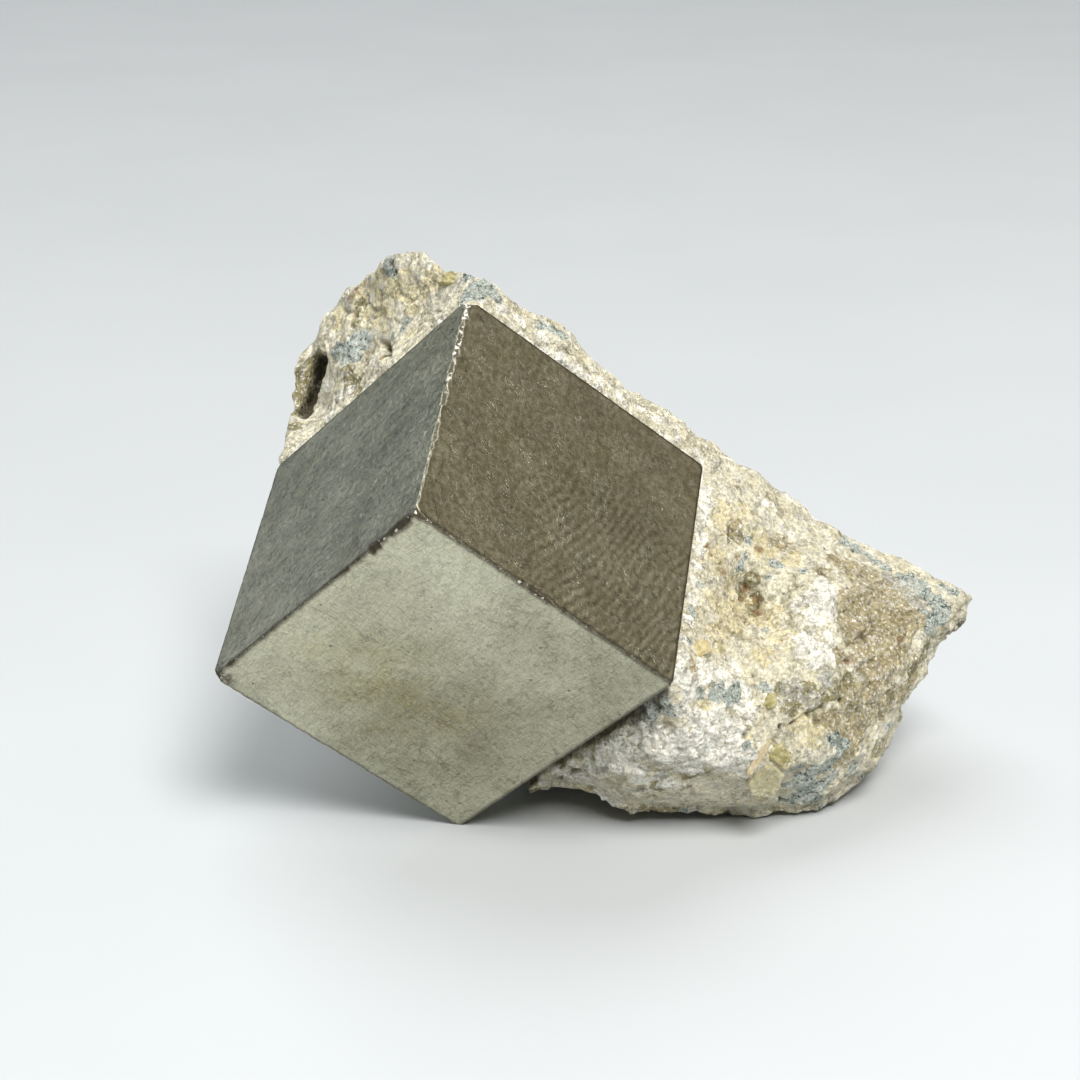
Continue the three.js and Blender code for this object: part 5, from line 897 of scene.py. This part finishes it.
def build_cube():
    ga = graded(EDGE[0], 0.09, 0.27, 3.0)
    gb = graded(EDGE[1], 0.09, 0.27, 3.0)
    gc = graded(EDGE[2], 0.09, 0.27, 3.0)
    G = [ga, gb, gc]
    Vs, Fs, base = [], [], 0
    for k in range(3):
        u, w = (k + 1) % 3, (k + 2) % 3
        nu, nw = len(G[u]), len(G[w])
        uu, ww = np.meshgrid(G[u], G[w], indexing="ij")
        for side in (0, 1):
            P = np.zeros((nu * nw, 3))
            P[:, u] = uu.ravel()
            P[:, w] = ww.ravel()
            P[:, k] = EDGE[k] * side
            i, j = np.meshgrid(np.arange(nu - 1), np.arange(nw - 1), indexing="ij")
            a = (i * nw + j).ravel() + base
            b, c, d = a + nw, a + nw + 1, a + 1
            alt = ((i + j) % 2 == 0).ravel()
            t1 = np.where(alt[:, None], np.stack([a, b, c], 1), np.stack([a, b, d], 1))
            t2 = np.where(alt[:, None], np.stack([a, c, d], 1), np.stack([b, c, d], 1))
            f = np.concatenate([t1, t2])
            if side == 0:
                f = f[:, ::-1]
            Vs.append(P)
            Fs.append(f)
            base += len(P)
    Q, F = merged(np.concatenate(Vs), np.concatenate(Fs))
    S = Q.copy()
    face = np.full(len(Q), -1)
    for k in range(3):
        face[(Q[:, k] < 1e-6)] = 2 * k
        face[(Q[:, k] > EDGE[k] - 1e-6)] = 2 * k + 1
    n = np.zeros_like(Q)
    for k in range(3):
        n[:, k] -= Q[:, k] < 1e-6
        n[:, k] += Q[:, k] > EDGE[k] - 1e-6
    n /= np.linalg.norm(n, axis=1, keepdims=True)
    # slight unevenness of grown faces, with low swells along the ripples of the right-hand one
    h = 0.030 * fbm(Q / 7.0, 201, 2) + 0.010 * fbm(Q / 1.6, 203, 3)
    on_right = Q[:, 2] < 1e-6  # spans edges A and B
    a, b = Q[:, 0], Q[:, 1]
    swell = fbm(np.stack([(a * 0.90 + b * 0.42) / 9.0, (a * -0.42 + b * 0.90) / 2.6, a * 0], 1), 211, 2)
    h += np.where(on_right, 0.018 * swell * smooth(6.0, 15.0, b), 0)
    # low terraces: growth steps on the left and lower faces
    on_left = Q[:, 1] < 1e-6
    step = fbm(np.stack([Q[:, 0] / 9, Q[:, 1], Q[:, 2] / 14], 1), 221, 2)
    h += np.where(on_left, 0.02 * np.tanh(12 * (step - 0.1)) * smooth(0, 2, a), 0)
    lim = np.ones(len(Q))
    for k in range(3):
        d = np.minimum(Q[:, k], EDGE[k] - Q[:, k])
        lim = np.minimum(lim, np.where((Q[:, k] < 1e-6) | (Q[:, k] > EDGE[k] - 1e-6), 1.0, smooth(0.0, 0.5, d)))
    Q = Q + n * (h * lim)[:, None]

    chip = np.zeros(len(Q))
    worn = np.zeros(len(Q))
    fresh = np.zeros(len(Q))
    # edges: (axis it runs along, side on the other two axes, profile)
    def profile(axis, sides, t):
        """Depth of the break along each of the twelve edges."""
        key = (axis, sides)
        small = 0.05 + chip_depth(t, 300 + 7 * axis + 3 * sides[0] + sides[1], 0.045, 0.8)
        if key == (0, (0, 0)):  # near corner up to the top corner: badly worn, more so higher up
            w = 0.24 + 0.50 * smooth(0.0, 27.0, t)
            return 0.05 + chip_depth(t, 311, 1.0, 1.35) * w * 0.85
        if key == (2, (0, 0)):  # near corner to the left corner: a chip close to the near corner, then crisp
            w = 0.20 + 0.46 * np.exp(-((t - 5.5) / 4.2) ** 2) + 0.30 * np.exp(-((t - 0.8) / 1.6) ** 2) + 0.14 * smooth(25, 30, t)
            return 0.045 + chip_depth(t, 312, 1.0, 1.2) * w * 0.8
        if key == (1, (0, 0)):  # near corner to the right corner
            w = 0.17 + 0.24 * np.exp(-((t - 1.2) / 1.6) ** 2) + 0.16 * np.exp(-((t - 12.5) / 4.0) ** 2)
            return 0.04 + chip_depth(t, 313, 1.0, 0.9) * w * 0.8
        if key == (1, (0, 1)):  # left corner to the standing corner
            return 0.05 + chip_depth(t, 314, 0.12, 1.1)
        if key == (0, (0, 1)):  # left corner up to the rock
            return 0.05 + chip_depth(t, 315, 0.09, 1.2)
        return small

    for axis in range(3):
        u, w = [k for k in range(3) if k != axis]
        for su in (0, 1):
            for sw in (0, 1):
                du = Q[:, u] if su == 0 else EDGE[u] - Q[:, u]
                dw = Q[:, w] if sw == 0 else EDGE[w] - Q[:, w]
                near = (du < 1.8) & (dw < 1.8)
                if not near.any():
                    continue
                idx = np.where(near)[0]
                t = Q[idx, axis]
                depth = profile(axis, (su, sw), t)
                rough = fbm(S[idx] / 0.55, 320 + axis * 4 + su * 2 + sw, 3)
                lean = 1 + 0.35 * perlin(np.stack([t / 1.7, t * 0, t * 0 + 3.1 * axis], 1), 330)
                need = depth * (1 + 0.28 * rough) - (du[idx] / lean + dw[idx] * lean)
                push = np.maximum(need, 0) / 2
                sign_u = 1 if su == 0 else -1
                sign_w = 1 if sw == 0 else -1
                Q[idx, u] += sign_u * push
                Q[idx, w] += sign_w * push
                chip[idx] = np.maximum(chip[idx], smooth(0.01, 0.08, push) * smooth(0.08, 0.22, depth))
                key = (axis, (su, sw))
                against = key in ((1, (1, 0)), (0, (1, 0)), (2, (1, 0)), (0, (1, 1)), (1, (1, 1)))
                reach = 0.36 if against else 0.40
                worn[idx] = np.maximum(worn[idx], smooth(reach, 0.02, du[idx] + dw[idx] - depth) * (1.0 if against else 0.9) * (0.30 if key == (0, (0, 0)) else 1.0))
                if key == (0, (0, 0)):
                    fresh[idx] = np.maximum(fresh[idx], 0.05 + 0.95 * smooth(9, 22, t + 5 * fbm(S[idx] / 2.5, 341, 2)))
    # corners broken flat
    for corner, cut in (((1, 0, 0), (1.0, 1.15, 1.05)), ((0, 0, 0), (0.95, 0.75, 0.80)), ((0, 0, 1), (0.85, 1.0, 1.25)), ((0, 1, 1), (0.42, 0.42, 0.42)), ((1, 1, 0), (0.4, 0.4, 0.4)), ((0, 1, 0), (0.45, 0.45, 0.45)), ((1, 0, 1), (0.5, 0.5, 0.5)), ((1, 1, 1), (0.4, 0.4, 0.4))):
        c = np.array(corner)
        d = np.where(c == 0, Q, EDGE - Q)
        s = (d / np.array(cut)).sum(1)
        idx = np.where((s < 1.25) & (d > -0.5).all(1))[0]
        rough = 0.14 * fbm(S[idx] / 0.45, 350 + corner[0] * 4 + corner[1] * 2 + corner[2], 3)
        need = np.maximum(1 + rough - s[idx], 0)
        nrm = 1 / np.array(cut)
        step = need[:, None] * nrm / (nrm @ nrm)
        Q[idx] += step * np.where(c == 0, 1, -1)
        chip[idx] = np.maximum(chip[idx], smooth(0.0, 0.1, need))
        worn[idx] = np.maximum(worn[idx], smooth(0.0, 0.2, need) * 0.7)
        if corner == (0, 0, 1):  # the left corner is split by a few black cracks
            j = np.where(np.linalg.norm(d, axis=1) < 2.6)[0]
            crack = np.abs(fbm(S[j] / 0.9, 361, 2)) < 0.17
            worn[j] = np.maximum(worn[j], np.where(crack, 1.0, 0.25) * smooth(2.6, 1.4, np.linalg.norm(d[j], axis=1)))
    V = NEAR + Q @ AX
    V[:, 2] = np.maximum(V[:, 2], 0.0)
    s = S
    on = lambda k, side: smooth(0.25, 0.0, s[:, k] if side == 0 else EDGE[k] - s[:, k])
    under = on(0, 0)
    cl = fbm(s / 4.2, 231, 3)
    # the brownish cloud across the middle of the lower face, weaker elsewhere
    centre = np.exp(-(((s[:, 1] - 12.5) / 9.5) ** 2 + ((s[:, 2] - 19.5) / 6.5) ** 2))
    cloud = under * np.clip(centre * (0.95 + 1.5 * cl), 0, 1) + (1 - under) * 0.35 * smooth(0.05, 0.5, cl)
    masks = {
        "chip": chip,
        "worn": worn,
        "fresh": fresh,
        "cloud": cloud,
        "face_left": on(1, 0),
        "face_right": on(2, 0),
        "face_under": under,
    }
    return make_mesh("pyrite", V, F, PYRITE, masks)


# ---------------------------------------------------------------- small crystals
def build_crystal(node, piece, material, swell, rough, seed):
    V, F = merged(*read_mesh(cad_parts[node]))
    c = V.mean(0)
    V = V + np.array(CRYSTALS[node][0]) * CRYSTALS[node][1]
    V, F = refine(V, F, lambda mid: np.full(len(mid), 0.16), 6)
    N = vertex_normals(V, F)
    span = (V.max(0) - V.min(0)).mean()
    V = relax(V, F, 1, 0.35)
    N = vertex_normals(V, F)
    f, h, e = facets(V / 0.7, seed)
    # the face that shows is the one turned to the front
    d = (V - c) @ np.array([0.1, -0.95, 0.25])
    rim = smooth(0.55, 0.95, np.linalg.norm((V - c) - d[:, None] * np.array([0.1, -0.95, 0.25]), axis=1) / (span * 0.5))
    V = V + N * (swell + rough * f + rough * 0.8 * fbm(V / 0.4, seed + 3, 2))[:, None]
    return make_mesh(piece, V, F, material, {"rim": rim})


MATRIX = matrix_material()
PYRITE = pyrite_material()
TABULAR = crystal_material("tabular_crystal", lin(146, 139, 104), lin(174, 167, 132), lin(202, 196, 170), 0.40)
OLIVE = crystal_material("olive_crystal", lin(136, 127, 78), lin(176, 166, 116), lin(206, 198, 160), 0.34)
HONEY = crystal_material("honey_crystal", lin(170, 152, 100), lin(198, 184, 136), lin(224, 212, 172), 0.42)
BLADE = crystal_material("brown_blade", lin(170, 150, 112), lin(196, 178, 140), lin(214, 202, 172), 0.42)

rock = build_rock()
cube = build_cube()
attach(rock, "root")
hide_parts("matrix_rock")
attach(cube, "root")
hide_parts("pyrite_cube")
for node, piece, mat, slot, swell, rough, seed in (
    ("tabular_crystal", "tabular", TABULAR, "tabular_crystal", 0.06, 0.06, 401),
    ("olive_crystal_lower", "olive_lower", OLIVE, "olive_crystal", 0.05, 0.16, 402),
    ("olive_crystal_upper", "olive_upper", OLIVE, "olive_crystal", 0.04, 0.20, 403),
    ("olive_crystal_front", "olive_front", OLIVE, "olive_crystal", 0.04, 0.20, 404),
    ("honey_crystal", "honey", HONEY, "honey_crystal", 0.04, 0.20, 405),
    ("brown_blade", "blade", BLADE, "brown_blade", 0.02, 0.05, 406),
):
    ob = build_crystal(node, piece, mat, swell, rough, seed)
    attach(ob, "root")
    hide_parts(node)

# ---------------------------------------------------------------- floor, light, camera
def stage_material():
    t = Tree("floor")
    n = t.noise(0.02, 2.0, 0.5)
    c = t.mix(t.ramp(n, 0.3, 0.7), (0.548, 0.572, 0.586), (0.562, 0.586, 0.600))
    return t.finish(Base_Color=c, Roughness=0.75)


me = bpy.data.meshes.new("floor")
R = 6.0
me.from_pydata([(-R, -R, -0.00005), (R, -R, -0.00005), (R, R, -0.00005), (-R, R, -0.00005)], [], [(0, 1, 2, 3)])
me.materials.append(stage_material())
floor = bpy.data.objects.new("floor", me)
bpy.context.scene.collection.objects.link(floor)


def area(name, at, aim, size, watts, colour=(1, 1, 1)):
    li = bpy.data.lights.new(name, "AREA")
    li.shape = "RECTANGLE"
    li.size, li.size_y = size
    li.energy = watts
    li.color = colour
    ob = bpy.data.objects.new(name, li)
    ob.location = at
    ob.rotation_euler = (Vector(aim) - Vector(at)).to_track_quat("-Z", "Y").to_euler()
    bpy.context.scene.collection.objects.link(ob)
    return ob


area("key", (0.195, -0.56, 0.81), (0, 0, 0.02), (0.42, 0.42), 12.2, (1.0, 0.985, 0.955))
sky = bpy.data.lights.new("overhead", "SUN")
sky.energy = 1.55
sky.angle = math.radians(52)
sky.color = (0.97, 0.985, 1.0)
sky_ob = bpy.data.objects.new("overhead", sky)
sky_ob.rotation_euler = Vector((-0.30, 0.40, 0.86)).to_track_quat("Z", "Y").to_euler()
bpy.context.scene.collection.objects.link(sky_ob)

world = bpy.data.worlds.new("studio")
bpy.context.scene.world = world
world.use_nodes = True
wt = world.node_tree
bg = wt.nodes["Background"]
co = wt.nodes.new("ShaderNodeTexCoord")


def blob(direction, width, inner, outer_socket):
    """Mixes a colour in round a direction of the room."""
    d = np.array(direction, float)
    d /= np.linalg.norm(d)
    dot = wt.nodes.new("ShaderNodeVectorMath")
    dot.operation = "DOT_PRODUCT"
    wt.links.new(co.outputs["Generated"], dot.inputs[0])
    dot.inputs[1].default_value = d
    mr = wt.nodes.new("ShaderNodeMapRange")
    mr.interpolation_type = "SMOOTHSTEP"
    mr.inputs["From Min"].default_value = math.cos(math.radians(width[1]))
    mr.inputs["From Max"].default_value = math.cos(math.radians(width[0]))
    wt.links.new(dot.outputs["Value"], mr.inputs["Value"])
    mx = wt.nodes.new("ShaderNodeMix")
    mx.data_type = "RGBA"
    wt.links.new(mr.outputs["Result"], mx.inputs["Factor"])
    if isinstance(outer_socket, tuple):
        mx.inputs[6].default_value = (*outer_socket, 1)
    else:
        wt.links.new(outer_socket, mx.inputs[6])
    mx.inputs[7].default_value = (*inner, 1)
    return mx.outputs[2]


w = blob((0, 0, 1), (20, 80), (0.30, 0.31, 0.32), (0.17, 0.18, 0.19))
w = blob((0.0, -1.0, -0.05), (30, 72), (0.07, 0.075, 0.08), w)
w = blob((-0.56, 0.825, 0.12), (26, 50), (0.100, 0.134, 0.154), w)
w = blob((0.755, 0.404, 0.517), (24, 48), (0.225, 0.186, 0.130), w)
wt.links.new(w, bg.inputs["Color"])
bg.inputs["Strength"].default_value = 1.0

cam_data = bpy.data.cameras.new("cam")
cam_data.lens = 82.67
cam_data.sensor_width = 36.0
cam_data.clip_start = 0.01
cam_data.clip_end = 50
cam = bpy.data.objects.new("cam", cam_data)
cam.location = (-0.00629, -0.21992, 0.10288)
cam.rotation_euler = (math.radians(70), 0, 0)
bpy.context.scene.collection.objects.link(cam)
bpy.context.scene.camera = cam
bpy.context.scene.view_settings.view_transform = "Standard"
